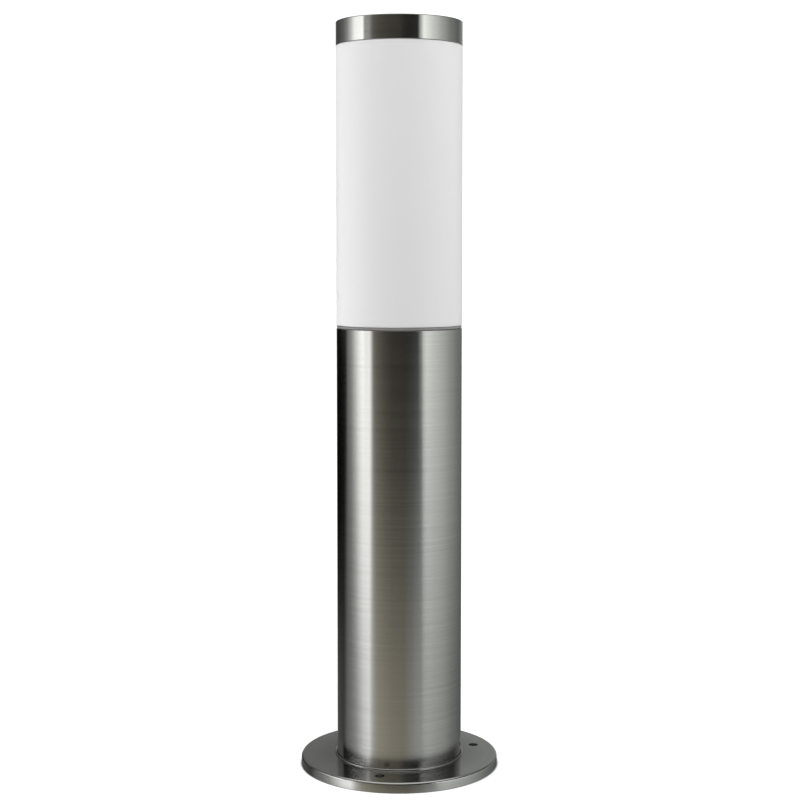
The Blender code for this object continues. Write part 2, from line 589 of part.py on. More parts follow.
def make_diffuser():
    top = ROOF_TOP - NECK_FOOT
    step = CAP_FOOT - GAP - NECK_FOOT
    bore = TUBE_RADIUS - SHADE_WALL
    outline = [(0, top), (ROOF_RADIUS - SHADE_EDGE, top), (ROOF_RADIUS, top - SHADE_EDGE)]
    outline += [(ROOF_RADIUS, step), (TUBE_RADIUS, step), (TUBE_RADIUS, NECK_DEPTH + SHADE_EDGE)]
    outline += [(TUBE_RADIUS - SHADE_EDGE, NECK_DEPTH), (NECK_RADIUS, NECK_DEPTH)]
    for depth in SEAL_DEPTHS.values():
        groove_z = NECK_DEPTH - depth
        half = SEAL_RADIUS + GAP
        floor = SEAL_OUTER_RADIUS - 2 * SEAL_RADIUS - GAP
        outline += [(NECK_RADIUS, groove_z + half), (floor, groove_z + half)]
        outline += [(floor, groove_z - half), (NECK_RADIUS, groove_z - half)]
    outline += [(NECK_RADIUS, SHADE_EDGE), (NECK_RADIUS - SHADE_EDGE, 0), (NECK_BORE_RADIUS, 0)]
    outline += [(NECK_BORE_RADIUS, NECK_DEPTH), (bore, NECK_DEPTH + SHOULDER_THICKNESS)]
    outline += [(bore, top - ROOF_THICKNESS - SHADE_WALL), (bore - SHADE_WALL, top - ROOF_THICKNESS)]
    outline += [(0, top - ROOF_THICKNESS)]
    turned("diffuser", outline, (0, 0, NECK_FOOT), opal)


def make_seals():
    for name, depth in SEAL_DEPTHS.items():
        bpy.ops.mesh.primitive_torus_add(
            major_radius=SEAL_OUTER_RADIUS - SEAL_RADIUS,
            minor_radius=SEAL_RADIUS,
            major_segments=LARGE,
            minor_segments=SEAL_SIDES,
        )
        seal = bpy.context.object
        seal.name = seal.data.name = f"neck_o_ring_{name}"
        place(seal, (0, 0, SHOULDER_Z - depth), UPWARDS, rubber)

    inner, outer = GASKET_RADII
    outline = [(inner, GASKET_THICKNESS), (outer, GASKET_THICKNESS), (outer, 0), (inner, 0)]
    turned("cap_gasket", outline, (0, 0, GASKET_FOOT), rubber, segments=MEDIUM)


def make_cap():
    bore = TUBE_RADIUS - CAP_SHEET
    centre = (TUBE_RADIUS - CAP_EDGE_RADIUS, CAP_HEIGHT - CAP_EDGE_RADIUS)
    outline = [(0, CAP_HEIGHT), *arc(centre, CAP_EDGE_RADIUS, 90, 0, 3)]
    outline += [(TUBE_RADIUS, EDGE_BREAK), (TUBE_RADIUS - EDGE_BREAK, 0), (bore, 0)]
    outline += [(bore, CAP_HEIGHT - CAP_SHEET), (0, CAP_HEIGHT - CAP_SHEET)]
    turned("top_cap", outline, (0, 0, CAP_FOOT), steel)


# Lamp


def make_lamp():
    at = (0, 0, LAMP_FOOT)
    centre_z = LAMP_LENGTH - LAMP_RADIUS
    drop = GLOBE_FOOT - centre_z
    inner_radius = LAMP_RADIUS - GLOBE_WALL
    outer_end = math.degrees(math.asin(drop / LAMP_RADIUS))
    inner_end = math.degrees(math.asin(drop / inner_radius))
    outer = arc((0, centre_z), LAMP_RADIUS, 90, outer_end, 7)
    inner = arc((0, centre_z), inner_radius, inner_end, 90, 7)
    globe = [(0, LAMP_LENGTH), *outer[1:], *inner[:-1], (0, LAMP_LENGTH - GLOBE_WALL)]
    turned("lamp_globe", globe, at, opal, segments=MEDIUM)

    # The body flares from the lamp's neck to the globe along a smooth S.
    foot = LAMP_CAP_SPAN[1] + GAP
    top = GLOBE_FOOT - GAP
    rim_radius = math.sqrt(LAMP_RADIUS**2 - drop**2)
    recess_floor = top - BOARD_THICKNESS - GAP
    body = [(0, recess_floor), (BOARD_RADIUS + 2 * GAP, recess_floor), (BOARD_RADIUS + 2 * GAP, top)]
    for t in (step / BODY_STEPS for step in range(BODY_STEPS, -1, -1)):
        flare = (1 - math.cos(math.pi * t**BODY_FLARE_POWER)) / 2
        radius = LAMP_NECK_RADIUS + (rim_radius - LAMP_NECK_RADIUS) * flare
        body.append((radius, foot + (top - foot) * t))
    spigot_radius = LAMP_CAP_RADIUS - LAMP_CAP_WALL - GAP
    spigot_foot = INSULATOR_SPAN[1] + GAP
    body += [(spigot_radius, foot), (spigot_radius, spigot_foot), (0, spigot_foot)]
    turned("lamp_body", body, at, lamp_white, segments=MEDIUM)

    board_at = (0, 0, LAMP_FOOT + recess_floor + GAP + BOARD_THICKNESS / 2)
    board_size = (BOARD_RADIUS, BOARD_THICKNESS)
    cylinder("lamp_led_board", *board_size, board_at, board_white, segments=MEDIUM)

    low, high = LAMP_CAP_SPAN
    bore = LAMP_CAP_RADIUS - LAMP_CAP_WALL
    taper_top = low + LAMP_CAP_TAPER
    lip_radius = INSULATOR_RADIUS + GAP + LAMP_CAP_WALL / 2
    cap = [(bore, high), (LAMP_CAP_RADIUS, high), (LAMP_CAP_RADIUS, taper_top), (lip_radius + GAP, low)]
    cap += [(lip_radius - GAP, low + GAP), (bore, taper_top + GAP)]
    turned("lamp_screw_cap", cap, at, nickel, segments=MEDIUM)

    low, high = INSULATOR_SPAN
    cone_top = LAMP_CAP_SPAN[0] + INSULATOR_RIM
    insulator = [(0, high), (INSULATOR_RADIUS, high), (INSULATOR_RADIUS, cone_top)]
    insulator += [(INSULATOR_RADIUS / 2, low), (0, low)]
    turned("lamp_insulator", insulator, at, black_glass, segments=MEDIUM)

    contact_height = low - GAP
    contact_at = (0, 0, LAMP_FOOT + contact_height / 2)
    cylinder("lamp_contact", LAMP_CONTACT_RADIUS, contact_height, contact_at, nickel)


# Finish


def settle(obj):
    """Applies a mesh piece's modifiers and shades it smooth, with its corners sharp."""
    if obj.type != "MESH":
        return
    graph = bpy.context.evaluated_depsgraph_get()
    mesh = bpy.data.meshes.new_from_object(obj.evaluated_get(graph))
    obj.modifiers.clear()
    obj.data = mesh
    mesh.name = obj.name
    mesh.shade_smooth()
    mesh.set_sharp_from_angle(angle=math.radians(SHARP_ANGLE))


def group(name, is_member):
    """Parents the pieces of one group to an empty on the common Z axis."""
    empty = bpy.data.objects.new(name, None)
    parts.objects.link(empty)
    for obj in parts.objects:
        if obj.type != "EMPTY" and obj.parent is None and is_member(obj.name):
            obj.parent = empty


clear_scene()
parts = new_collection("bollard_light")
cutters = new_collection("cutters")

steel = new_material("brushed_steel", (0.55, 0.54, 0.52), 0.3, 1.0)
zinc = new_material("galvanised_steel", (0.55, 0.56, 0.57), 0.45, 1.0)
bright_zinc = new_material("bright_zinc", (0.7, 0.71, 0.72), 0.3, 1.0)
brass = new_material("brass", (0.72, 0.55, 0.28), 0.3, 1.0)
copper = new_material("tinned_copper", (0.7, 0.66, 0.6), 0.35, 1.0)
nickel = new_material("nickel_plate", (0.7, 0.68, 0.64), 0.25, 1.0)
opal = new_material("opal_acrylic", (0.86, 0.86, 0.86), 0.35, 0.0)
lamp_white = new_material("lamp_white", (0.85, 0.85, 0.84), 0.4, 0.0)
board_white = new_material("board_white", (0.8, 0.81, 0.8), 0.5, 0.0)
porcelain = new_material("porcelain", (0.88, 0.87, 0.84), 0.15, 0.0)
grey_plastic = new_material("grey_plastic", (0.28, 0.275, 0.265), 0.5, 0.0)
polyamide = new_material("polyamide", (0.82, 0.82, 0.8), 0.5, 0.0)
rubber = new_material("rubber", (0.03, 0.03, 0.03), 0.7, 0.0)
black_glass = new_material("black_glass", (0.02, 0.02, 0.02), 0.1, 0.0)
brown = new_material("brown_insulation", (0.2, 0.09, 0.04), 0.45, 0.0)
blue = new_material("blue_insulation", (0.05, 0.15, 0.5), 0.45, 0.0)
green_yellow = new_material("green_yellow_insulation", (0.35, 0.55, 0.05), 0.45, 0.0)

make_base()
make_tube()
make_bracket()
make_lampholder()
make_terminals()
make_earth_point()
make_wires()
make_seat_ring()
make_diffuser()
make_seals()
make_cap()
make_lamp()

bpy.context.view_layer.update()
for piece in parts.objects:
    settle(piece)

HEAD = ("diffuser", "top_cap", "cap_gasket", "neck_o_ring_upper", "neck_o_ring_lower")
group("head_lift", lambda name: name in HEAD)
group("collar_turn", lambda name: name == "seat_ring")
group("lamp_out", lambda name: name.startswith("lamp_"))
group("post", lambda name: True)
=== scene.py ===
"""Looks of the bollard light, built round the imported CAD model.

Fine turned meshes stand for the round pieces, the bent and boxed CAD pieces get softened edges,
and every piece gets a procedural material. Metres, +Z up, -Y is the front.
"""

import math

import bmesh
import bpy
from mathutils import Euler, Matrix, Vector


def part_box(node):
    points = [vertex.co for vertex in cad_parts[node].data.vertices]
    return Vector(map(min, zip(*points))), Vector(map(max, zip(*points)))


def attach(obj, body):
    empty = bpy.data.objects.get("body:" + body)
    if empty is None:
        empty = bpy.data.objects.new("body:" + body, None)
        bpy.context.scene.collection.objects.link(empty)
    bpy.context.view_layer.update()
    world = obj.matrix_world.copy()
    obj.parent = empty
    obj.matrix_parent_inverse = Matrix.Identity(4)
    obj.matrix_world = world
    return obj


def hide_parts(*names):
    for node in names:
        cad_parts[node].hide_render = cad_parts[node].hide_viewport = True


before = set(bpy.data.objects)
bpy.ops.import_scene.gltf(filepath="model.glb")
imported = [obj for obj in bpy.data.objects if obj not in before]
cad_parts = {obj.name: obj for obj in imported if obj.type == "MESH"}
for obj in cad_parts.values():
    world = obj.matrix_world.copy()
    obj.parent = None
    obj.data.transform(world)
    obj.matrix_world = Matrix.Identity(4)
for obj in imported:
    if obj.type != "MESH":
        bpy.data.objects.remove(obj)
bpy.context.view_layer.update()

MM = 0.001

# Segments of the round pieces, by size
FINE = 192
MIDDLING = 96
SMALL = 40
FILLET_STEPS = 5
SHARP_ANGLE = math.radians(38)

# Turns of a piece's own +Z
UPWARDS = Euler((0, 0, 0))
DOWNWARDS = Euler((math.pi, 0, 0))
TO_BACK = Euler((-math.pi / 2, 0, 0))  # towards +Y


# Camera, floor and light

# About a metre in front of the axis, a little above the middle of the object
CAMERA_DISTANCE = 0.979  # from the axis
CAMERA_HEIGHT = 0.3156
CAMERA_SIDE = 0.0005
CAMERA_PITCH = 4.5  # degrees below the horizontal
CAMERA_LENS = 72.86  # millimetres
CAMERA_SHIFT = -0.03

FLOOR_SIDE = 60.0
FLOOR_DROP = 0.1 * MM  # below the foot, so that the two faces don't coincide
FLOOR_GLOW = 0.72
FLOOR_EDGE = 1.0 * MM  # over which the glow starts round the foot
FLOOR_LEVELS = (0.6, 0.62)
FLOOR_MOTTLE = 3.0  # patches per metre


def grey(level):
    return (level, level, level)


def pale(level):
    return (0.966 * level, level, 0.97 * level)


def warm(level):
    return (level, level * 0.93, level * 0.78)


# The light tent as steel sees it: rows of soft lights and black flags, from the ground up.
# A light is (azimuth in degrees, colour): 0 is behind the camera, + is to the right.
BLACK = (0.001, 0.001, 0.001)

TABLE_LIGHTS = [
    (-180, grey(0.5)),
    (-161, grey(0.1)),
    (-125, grey(0.08)),
    (-112, grey(0.2)),
    (-88, grey(0.31)),
    (-76, grey(0.45)),
    (-66, grey(0.74)),
    (-58, grey(0.92)),
    (-50, grey(0.62)),
    (-40, warm(0.48)),
    (-12, warm(0.4)),
    (9, warm(0.37)),
    (32, pale(0.5)),
    (56, pale(0.42)),
    (92, pale(0.33)),
    (115, pale(0.21)),
    (156, pale(0.11)),
    (166, pale(0.1)),
    (180, grey(0.5)),
]
LOW_LIGHTS = [
    (-180, grey(0.75)),
    (-168, grey(0.6)),
    (-161, BLACK),
    (-122, BLACK),
    (-114, grey(0.1)),
    (-99, grey(0.22)),
    (-88, grey(0.45)),
    (-78, grey(1.0)),
    (-69, grey(1.42)),
    (-58, grey(1.45)),
    (-51, grey(0.65)),
    (-44, warm(0.27)),
    (-28, warm(0.12)),
    (-12, warm(0.05)),
    (9, warm(0.03)),
    (24, grey(0.06)),
    (39, pale(0.24)),
    (47, pale(0.58)),
    (58, pale(0.72)),
    (82, pale(0.59)),
    (103, pale(0.42)),
    (132, pale(0.25)),
    (156, pale(0.13)),
    (166, pale(0.1)),
    (174, grey(0.6)),
    (180, grey(0.75)),
]
UPRIGHT_LIGHTS = [
    (-180, grey(0.9)),
    (-168, grey(0.75)),
    (-161, BLACK),
    (-114, BLACK),
    (-110, grey(0.16)),
    (-96, grey(0.37)),
    (-85, grey(0.85)),
    (-76, grey(1.47)),
    (-66, grey(1.75)),
    (-55, grey(1.85)),
    (-48, warm(0.26)),
    (-41, warm(0.13)),
    (-26, warm(0.04)),
    (-12, warm(0.005)),
    (16, warm(0.0)),
    (34, pale(0.01)),
    (41, pale(0.04)),
    (46, pale(0.7)),
    (52, pale(1.05)),
    (66, pale(0.9)),
    (82, pale(0.75)),
    (104, pale(0.5)),
    (130, pale(0.28)),
    (156, pale(0.17)),
    (166, pale(0.13)),
    (174, grey(0.75)),
    (180, grey(0.9)),
]
HIGH_LIGHTS = [
    (-180, grey(0.9)),
    (-170, grey(0.7)),
    (-160, grey(0.08)),
    (-136, grey(0.09)),
    (-120, grey(0.22)),
    (-107, grey(0.48)),
    (-96, grey(1.2)),
    (-87, grey(2.2)),
    (-69, grey(2.4)),
    (-65, grey(0.3)),
    (-61, warm(0.06)),
    (-44, warm(0.03)),
    (-20, warm(0.0)),
    (24, grey(0.0)),
    (34, pale(0.03)),
    (39, pale(1.2)),
    (45, pale(2.35)),
    (54, pale(1.8)),
    (64, pale(1.35)),
    (82, pale(0.76)),
    (103, pale(0.36)),
    (132, pale(0.16)),
    (156, pale(0.33)),
    (180, grey(0.9)),
]
TOP_LIGHTS = [
    (-180, grey(0.19)),
    (-170, grey(0.15)),
    (-132, grey(0.15)),
    (-125, BLACK),
    (-74, BLACK),
    (-66, grey(0.4)),
    (-60, grey(0.7)),
    (-54, grey(0.36)),
    (-38, warm(0.24)),
    (0, warm(0.17)),
    (12, grey(0.06)),
    (36, pale(0.02)),
    (64, pale(0.04)),
    (90, pale(0.03)),
    (122, pale(0.03)),
    (136, pale(0.15)),
    (170, pale(0.3)),
    (180, pale(0.25)),
]
SKY_LIGHTS = [(-180, grey(0.2)), (180, grey(0.2))]
OVERHEAD_LIGHTS = [(-180, grey(0.85)), (180, grey(0.85))]
# Each row with the elevations, in degrees, between which it takes over from the one below
LIGHT_ROWS = [
    ((-55.0, -40.0), TABLE_LIGHTS),
    ((-16.5, -10.5), LOW_LIGHTS),
    ((-10.5, -5.0), UPRIGHT_LIGHTS),
    ((0.5, 2.5), HIGH_LIGHTS),
    ((9.5, 12.0), TOP_LIGHTS),
    ((26.0, 32.0), SKY_LIGHTS),
    ((48.0, 62.0), OVERHEAD_LIGHTS),
]

# The same tent as matt surfaces see it: level = plain + sideways * x + edge * x * x
TENT_PLAIN = 0.13
TENT_SIDEWAYS = -0.66
TENT_EDGE = 2.4
BACKDROP = 1.2

# Soft box over the right of the camera, which only matt surfaces see
SOFT_BOX_SIZE = 0.5
SOFT_BOX_AT = (0.45, -0.5, 0.95)
SOFT_BOX_AIM = (0, 0, 0.4)
SOFT_BOX_POWER = 2.9


class Nodes:
    """Adds nodes to a tree. A value is a number, a tuple or another node's socket."""

    def __init__(self, tree):
        self.tree = tree

    def put(self, socket, value):
        if isinstance(value, bpy.types.NodeSocket):
            self.tree.links.new(value, socket)
        else:
            socket.default_value = value

    def node(self, kind, inputs=None, **settings):
        made = self.tree.nodes.new("ShaderNode" + kind)
        for name, value in settings.items():
            setattr(made, name, value)
        for key, value in (inputs or {}).items():
            self.put(made.inputs[key], value)
        return made

    def math(self, operation, *values):
        return self.node("Math", dict(enumerate(values)), operation=operation).outputs[0]

    def rescale(self, value, low, high, to_low=0.0, to_high=1.0, smooth=False):
        kind = "SMOOTHSTEP" if smooth else "LINEAR"
        inputs = {0: value, 1: low, 2: high, 3: to_low, 4: to_high}
        return self.node("MapRange", inputs, interpolation_type=kind).outputs[0]

    def blend(self, factor, first, second):
        inputs = {0: factor, 6: first, 7: second}
        return self.node("Mix", inputs, data_type="RGBA").outputs[2]

    def ramp(self, factor, stops):
        made = self.node("ValToRGB", {0: factor})
        elements = made.color_ramp.elements
        while len(elements) < len(stops):
            elements.new(1.0)
        for element, (position, colour) in zip(elements, stops):
            element.position = position
            element.color = (*colour, 1.0)
        return made.outputs[0]

    def noise(self, vector, scale, detail=3.0, roughness=0.55):
        inputs = {"Vector": vector, "Scale": scale, "Detail": detail, "Roughness": roughness}
        return self.node("TexNoise", inputs).outputs[0]

    def stretched(self, vector, scale):
        return self.node("Mapping", {"Vector": vector, "Scale": scale}).outputs[0]


def make_tent():
    """One soft light tent. Steel sees its lights and flags, matt surfaces its evened-out glow."""
    world = bpy.data.worlds.new("light_tent")
    bpy.context.scene.world = world
    world.use_nodes = True
    world.cycles.sampling_method = "NONE"
    world.node_tree.nodes.clear()
    nodes = Nodes(world.node_tree)

    direction = nodes.node("TexCoord").outputs["Generated"]
    x, y, height = nodes.node("SeparateXYZ", {0: direction}).outputs
    angle = nodes.math("ARCTAN2", x, nodes.math("MULTIPLY", y, -1.0))
    turn = nodes.math("MULTIPLY_ADD", angle, 0.5 / math.pi, 0.5)
    lights = (0.0, 0.0, 0.0, 1.0)
    for span, row in LIGHT_ROWS:
        low, high = (math.sin(math.radians(elevation)) for elevation in span)
        factor = nodes.rescale(height, low, high, smooth=True)
        stops = [(azimuth / 360 + 0.5, colour) for azimuth, colour in row]
        lights = nodes.blend(factor, lights, nodes.ramp(turn, stops))

    slope = nodes.math("MULTIPLY_ADD", x, TENT_EDGE, TENT_SIDEWAYS)
    glow = nodes.math("MULTIPLY_ADD", slope, x, TENT_PLAIN)

    path = nodes.node("LightPath").outputs
    colour = nodes.blend(path["Is Glossy Ray"], glow, lights)
    colour = nodes.blend(path["Is Camera Ray"], colour, (BACKDROP, BACKDROP, BACKDROP, 1.0))
    background = nodes.node("Background", {"Color": colour})
    output = nodes.node("OutputWorld", {"Surface": background.outputs[0]})
    output.is_active_output = True


def make_soft_box():
    light = bpy.data.lights.new("soft_box", "AREA")
    light.size = SOFT_BOX_SIZE
    light.energy = SOFT_BOX_POWER
    soft_box = bpy.data.objects.new("soft_box", light)
    bpy.context.scene.collection.objects.link(soft_box)
    soft_box.location = SOFT_BOX_AT
    aim = Vector(SOFT_BOX_AIM) - Vector(SOFT_BOX_AT)
    soft_box.rotation_euler = aim.to_track_quat("-Z", "Y").to_euler()
    soft_box.visible_glossy = False


def make_floor():
    """A wide pale floor. It glows a little towards the camera, except under the object."""
    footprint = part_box("base_flange")[1].x
    bpy.ops.mesh.primitive_plane_add(size=FLOOR_SIDE, location=(0, 0, -FLOOR_DROP))
    floor = bpy.context.object
    floor.name = "studio_floor"
    floor.visible_glossy = False
    sockets = {"Emission Color": (1.0, 1.0, 1.0, 1.0), "Specular IOR Level": 0.0}
    material, nodes, shader = new_shader("pale_floor", 0.9, **sockets)
    position = nodes.node("NewGeometry").outputs["Position"]
    distance = nodes.node("VectorMath", {0: position}, operation="LENGTH").outputs["Value"]
    outside = nodes.rescale(distance, footprint, footprint + FLOOR_EDGE, 0.0, FLOOR_GLOW)
    towards_camera = nodes.node("LightPath").outputs["Is Camera Ray"]
    mottle = nodes.noise(position, FLOOR_MOTTLE)
    stops = [(0.3, grey(FLOOR_LEVELS[0])), (0.7, grey(FLOOR_LEVELS[1]))]
    nodes.put(shader.inputs["Base Color"], nodes.ramp(mottle, stops))
    nodes.put(shader.inputs["Emission Strength"], nodes.math("MULTIPLY", outside, towards_camera))
    floor.data.materials.append(material)


def make_camera():
    camera = bpy.data.objects.new("camera", bpy.data.cameras.new("camera"))
    bpy.context.scene.collection.objects.link(camera)
    camera.location = (CAMERA_SIDE, -CAMERA_DISTANCE, CAMERA_HEIGHT)
    camera.rotation_euler = (math.radians(90 - CAMERA_PITCH), 0, 0)
    camera.data.lens = CAMERA_LENS
    camera.data.shift_y = CAMERA_SHIFT
    bpy.context.scene.camera = camera
    bpy.context.scene.view_settings.view_transform = "Standard"


# Materials

NOISE_SPAN = (0.35, 0.65)  # most of a noise's values lie in it


def new_shader(name, roughness, metallic=0.0, **sockets):
    """(material, its nodes, its Principled BSDF), with constants on the shader's own sockets."""
    material = bpy.data.materials.new(name)
    material.use_nodes = True
    shader = material.node_tree.nodes["Principled BSDF"]
    shader.inputs["Roughness"].default_value = roughness
    shader.inputs["Metallic"].default_value = metallic
    for socket, value in sockets.items():
        shader.inputs[socket].default_value = value
    return material, Nodes(material.node_tree), shader


def bump(nodes, shader, height, strength, distance):
    inputs = {"Strength": strength, "Distance": distance, "Height": height}
    nodes.put(shader.inputs["Normal"], nodes.node("Bump", inputs).outputs[0])


def mottled(name, colours, roughness, grain, relief, metallic=0.0, patch=60.0, **sockets):
    """A finish whose colour drifts in soft patches, with a fine grain in its gloss and relief.

    roughness is (smoothest, roughest), grain and patch count grains and patches per metre, and
    relief is the grains' depth.
    """
    material, nodes, shader = new_shader(name, roughness[0], metallic, **sockets)
    place = nodes.node("TexCoord").outputs["Object"]
    patches = nodes.noise(place, patch)
    grains = nodes.noise(place, grain, detail=4.0)
    stops = list(zip(NOISE_SPAN, colours))
    nodes.put(shader.inputs["Base Color"], nodes.ramp(patches, stops))
    both = nodes.math("MULTIPLY_ADD", grains, 0.6, nodes.math("MULTIPLY", patches, 0.4))
    nodes.put(shader.inputs["Roughness"], nodes.rescale(both, *NOISE_SPAN, *roughness))
    bump(nodes, shader, grains, 0.5, relief)
    return material


STEEL_ROUGHNESS = 0.14
STEEL_ANISOTROPY = 1.0
ROUGHNESS_SWING = 0.015  # to both sides
HAIR_SCALE = (14.0, 14.0, 1700.0)  # along x and y, and across the brushing, per metre
BAND_SCALE = (7.0, 7.0, 420.0)
HAIR_SHARE = 0.75  # of the pattern, and the bands make up the rest
STEEL_DARK = (0.55, 0.548, 0.526)
STEEL_MIDDLE = (0.612, 0.61, 0.586)
STEEL_LIGHT = (0.665, 0.662, 0.637)
FLANGE_GLOSS = 0.045  # how much smoother the flange is than the rest
PAINTED_SHADE_SPAN = (38.15 * MM, 54.0 * MM)  # painted shade: a darker ring on the flange round the tube: its radii
PAINTED_SHADE_LEVEL = 0.72
PAINTED_SHADE_ONSET = 0.001  # as a share of the outer radius


def turned_steel():
    """Stainless steel brushed round the axis: hair lines run round walls and in rings on faces.

    Past the tube's radius, so on the flange, it is smoother, and next to the tube its colour is
    darkened by a painted shade that fades outwards.
    """
    anisotropy = {"Anisotropic": STEEL_ANISOTROPY, "Anisotropic Rotation": 0.25}
    material, nodes, shader = new_shader("brushed_steel", STEEL_ROUGHNESS, 1.0, **anisotropy)
    place = nodes.node("TexCoord").outputs["Object"]
    x, y, z = nodes.node("SeparateXYZ", {0: place}).outputs
    flat = nodes.node("CombineXYZ", {0: x, 1: y})
    radius = nodes.node("VectorMath", {0: flat.outputs[0]}, operation="LENGTH").outputs["Value"]
    across = nodes.math("ADD", z, radius)
    lines = nodes.node("CombineXYZ", {0: x, 1: y, 2: across}).outputs[0]
    hairs = nodes.noise(nodes.stretched(lines, HAIR_SCALE), 1.0, detail=4.0, roughness=0.7)
    bands = nodes.noise(nodes.stretched(lines, BAND_SCALE), 1.0, detail=2.0)
    smudges = nodes.noise(place, 22.0, detail=2.0)

    weighted_hairs = nodes.math("MULTIPLY", hairs, HAIR_SHARE)
    mixed = nodes.math("MULTIPLY_ADD", bands, 1 - HAIR_SHARE, weighted_hairs)
    stops = [(0.25, STEEL_DARK), (0.5, STEEL_MIDDLE), (0.75, STEEL_LIGHT)]
    colour = nodes.ramp(mixed, stops)
    # Painted shade on the flange round the tube's foot: the colour is darkest there and fades out
    # towards the outer radius
    outwards = nodes.math("DIVIDE", radius, PAINTED_SHADE_SPAN[1])
    foot = PAINTED_SHADE_SPAN[0] / PAINTED_SHADE_SPAN[1]
    stops = [(foot - PAINTED_SHADE_ONSET, grey(1.0)), (foot, grey(PAINTED_SHADE_LEVEL)), (1.0, grey(1.0))]
    painted_shade = nodes.ramp(outwards, stops)
    product = nodes.node("VectorMath", {0: colour, 1: painted_shade}, operation="MULTIPLY")
    nodes.put(shader.inputs["Base Color"], product.outputs[0])
    wear = nodes.math("MULTIPLY_ADD", smudges, 0.3, nodes.math("MULTIPLY", mixed, 0.7))
    swing = (STEEL_ROUGHNESS - ROUGHNESS_SWING, STEEL_ROUGHNESS + ROUGHNESS_SWING)
    roughness = nodes.rescale(wear, *NOISE_SPAN, *swing)
    finer = nodes.math("GREATER_THAN", radius, PAINTED_SHADE_SPAN[0])
    roughness = nodes.math("MULTIPLY_ADD", finer, -FLANGE_GLOSS, roughness)
    nodes.put(shader.inputs["Roughness"], roughness)
    tangent = nodes.node("Tangent", direction_type="RADIAL", axis="Z")
    nodes.put(shader.inputs["Tangent"], tangent.outputs[0])
    bump(nodes, shader, hairs, 0.05, 0.01 * MM)
    return material


def spangled_zinc():
    """Hot-dip galvanised sheet with its crystal flowers."""
    material, nodes, shader = new_shader("galvanised_steel", 0.42, 1.0)
    place = nodes.node("TexCoord").outputs["Object"]
    warp = nodes.noise(place, 500.0)
    moved = nodes.node("VectorMath", {0: place, 1: warp, 2: (0.002,) * 3}, operation="MULTIPLY_ADD")
    flowers = nodes.node("TexVoronoi", {"Vector": moved.outputs[0], "Scale": 260.0}, feature="F1")
    shade = nodes.node("SeparateColor", {0: flowers.outputs["Color"]}).outputs[0]
    fine = nodes.noise(place, 2200.0)
    stops = [(0.0, (0.44, 0.455, 0.47)), (0.5, (0.56, 0.57, 0.585)), (1.0, (0.7, 0.71, 0.72))]
    nodes.put(shader.inputs["Base Color"], nodes.ramp(shade, stops))
    mixed = nodes.math("MULTIPLY_ADD", shade, 0.5, nodes.math("MULTIPLY", fine, 0.5))
    nodes.put(shader.inputs["Roughness"], nodes.rescale(mixed, 0.2, 0.8, 0.3, 0.52))
    bump(nodes, shader, mixed, 0.3, 0.03 * MM)
    return material


def opal_acrylic():
    """Milky acrylic: satin outside, with light carried a little way inside it."""
    sockets = {"IOR": 1.49, "Specular IOR Level": 0.2}
    sockets |= {"Subsurface Weight": 0.35, "Subsurface Scale": 4 * MM}
    sockets |= {"Subsurface Radius": (1.0, 1.0, 1.0)}
    material, nodes, shader = new_shader("opal_acrylic", 0.4, **sockets)
    place = nodes.node("TexCoord").outputs["Object"]
    haze = nodes.noise(nodes.stretched(place, (9.0, 9.0, 3.0)), 1.0, detail=2.0)
    satin = nodes.noise(place, 1500.0, detail=3.0)
    stops = [(0.3, grey(0.865)), (0.7, grey(0.885))]
    nodes.put(shader.inputs["Base Color"], nodes.ramp(haze, stops))
    nodes.put(shader.inputs["Roughness"], nodes.rescale(satin, *NOISE_SPAN, 0.36, 0.44))
    bump(nodes, shader, satin, 0.15, 0.01 * MM)
    return material


def striped_insulation():
    """Protective-earth insulation: a yellow stripe along a green wire."""
    material, nodes, shader = new_shader("green_yellow_insulation", 0.45)
    around = nodes.node("SeparateXYZ", {0: nodes.node("TexCoord").outputs["UV"]}).outputs[1]
    place = nodes.node("TexCoord").outputs["Object"]
    wobble = nodes.math("MULTIPLY_ADD", nodes.noise(place, 120.0), 0.12, around)
    deep_green, green = (0.03, 0.2, 0.04), (0.04, 0.24, 0.05)
    stops = [(0.0, deep_green), (0.3, green), (0.34, (0.75, 0.62, 0.03))]
    stops += [(0.72, (0.78, 0.66, 0.04)), (0.76, green), (1.0, deep_green)]
    nodes.put(shader.inputs["Base Color"], nodes.ramp(wobble, stops))
    grains = nodes.noise(place, 2500.0)
    nodes.put(shader.inputs["Roughness"], nodes.rescale(grains, 0.3, 0.7, 0.38, 0.5))
    bump(nodes, shader, grains, 0.3, 0.01 * MM)
    return material


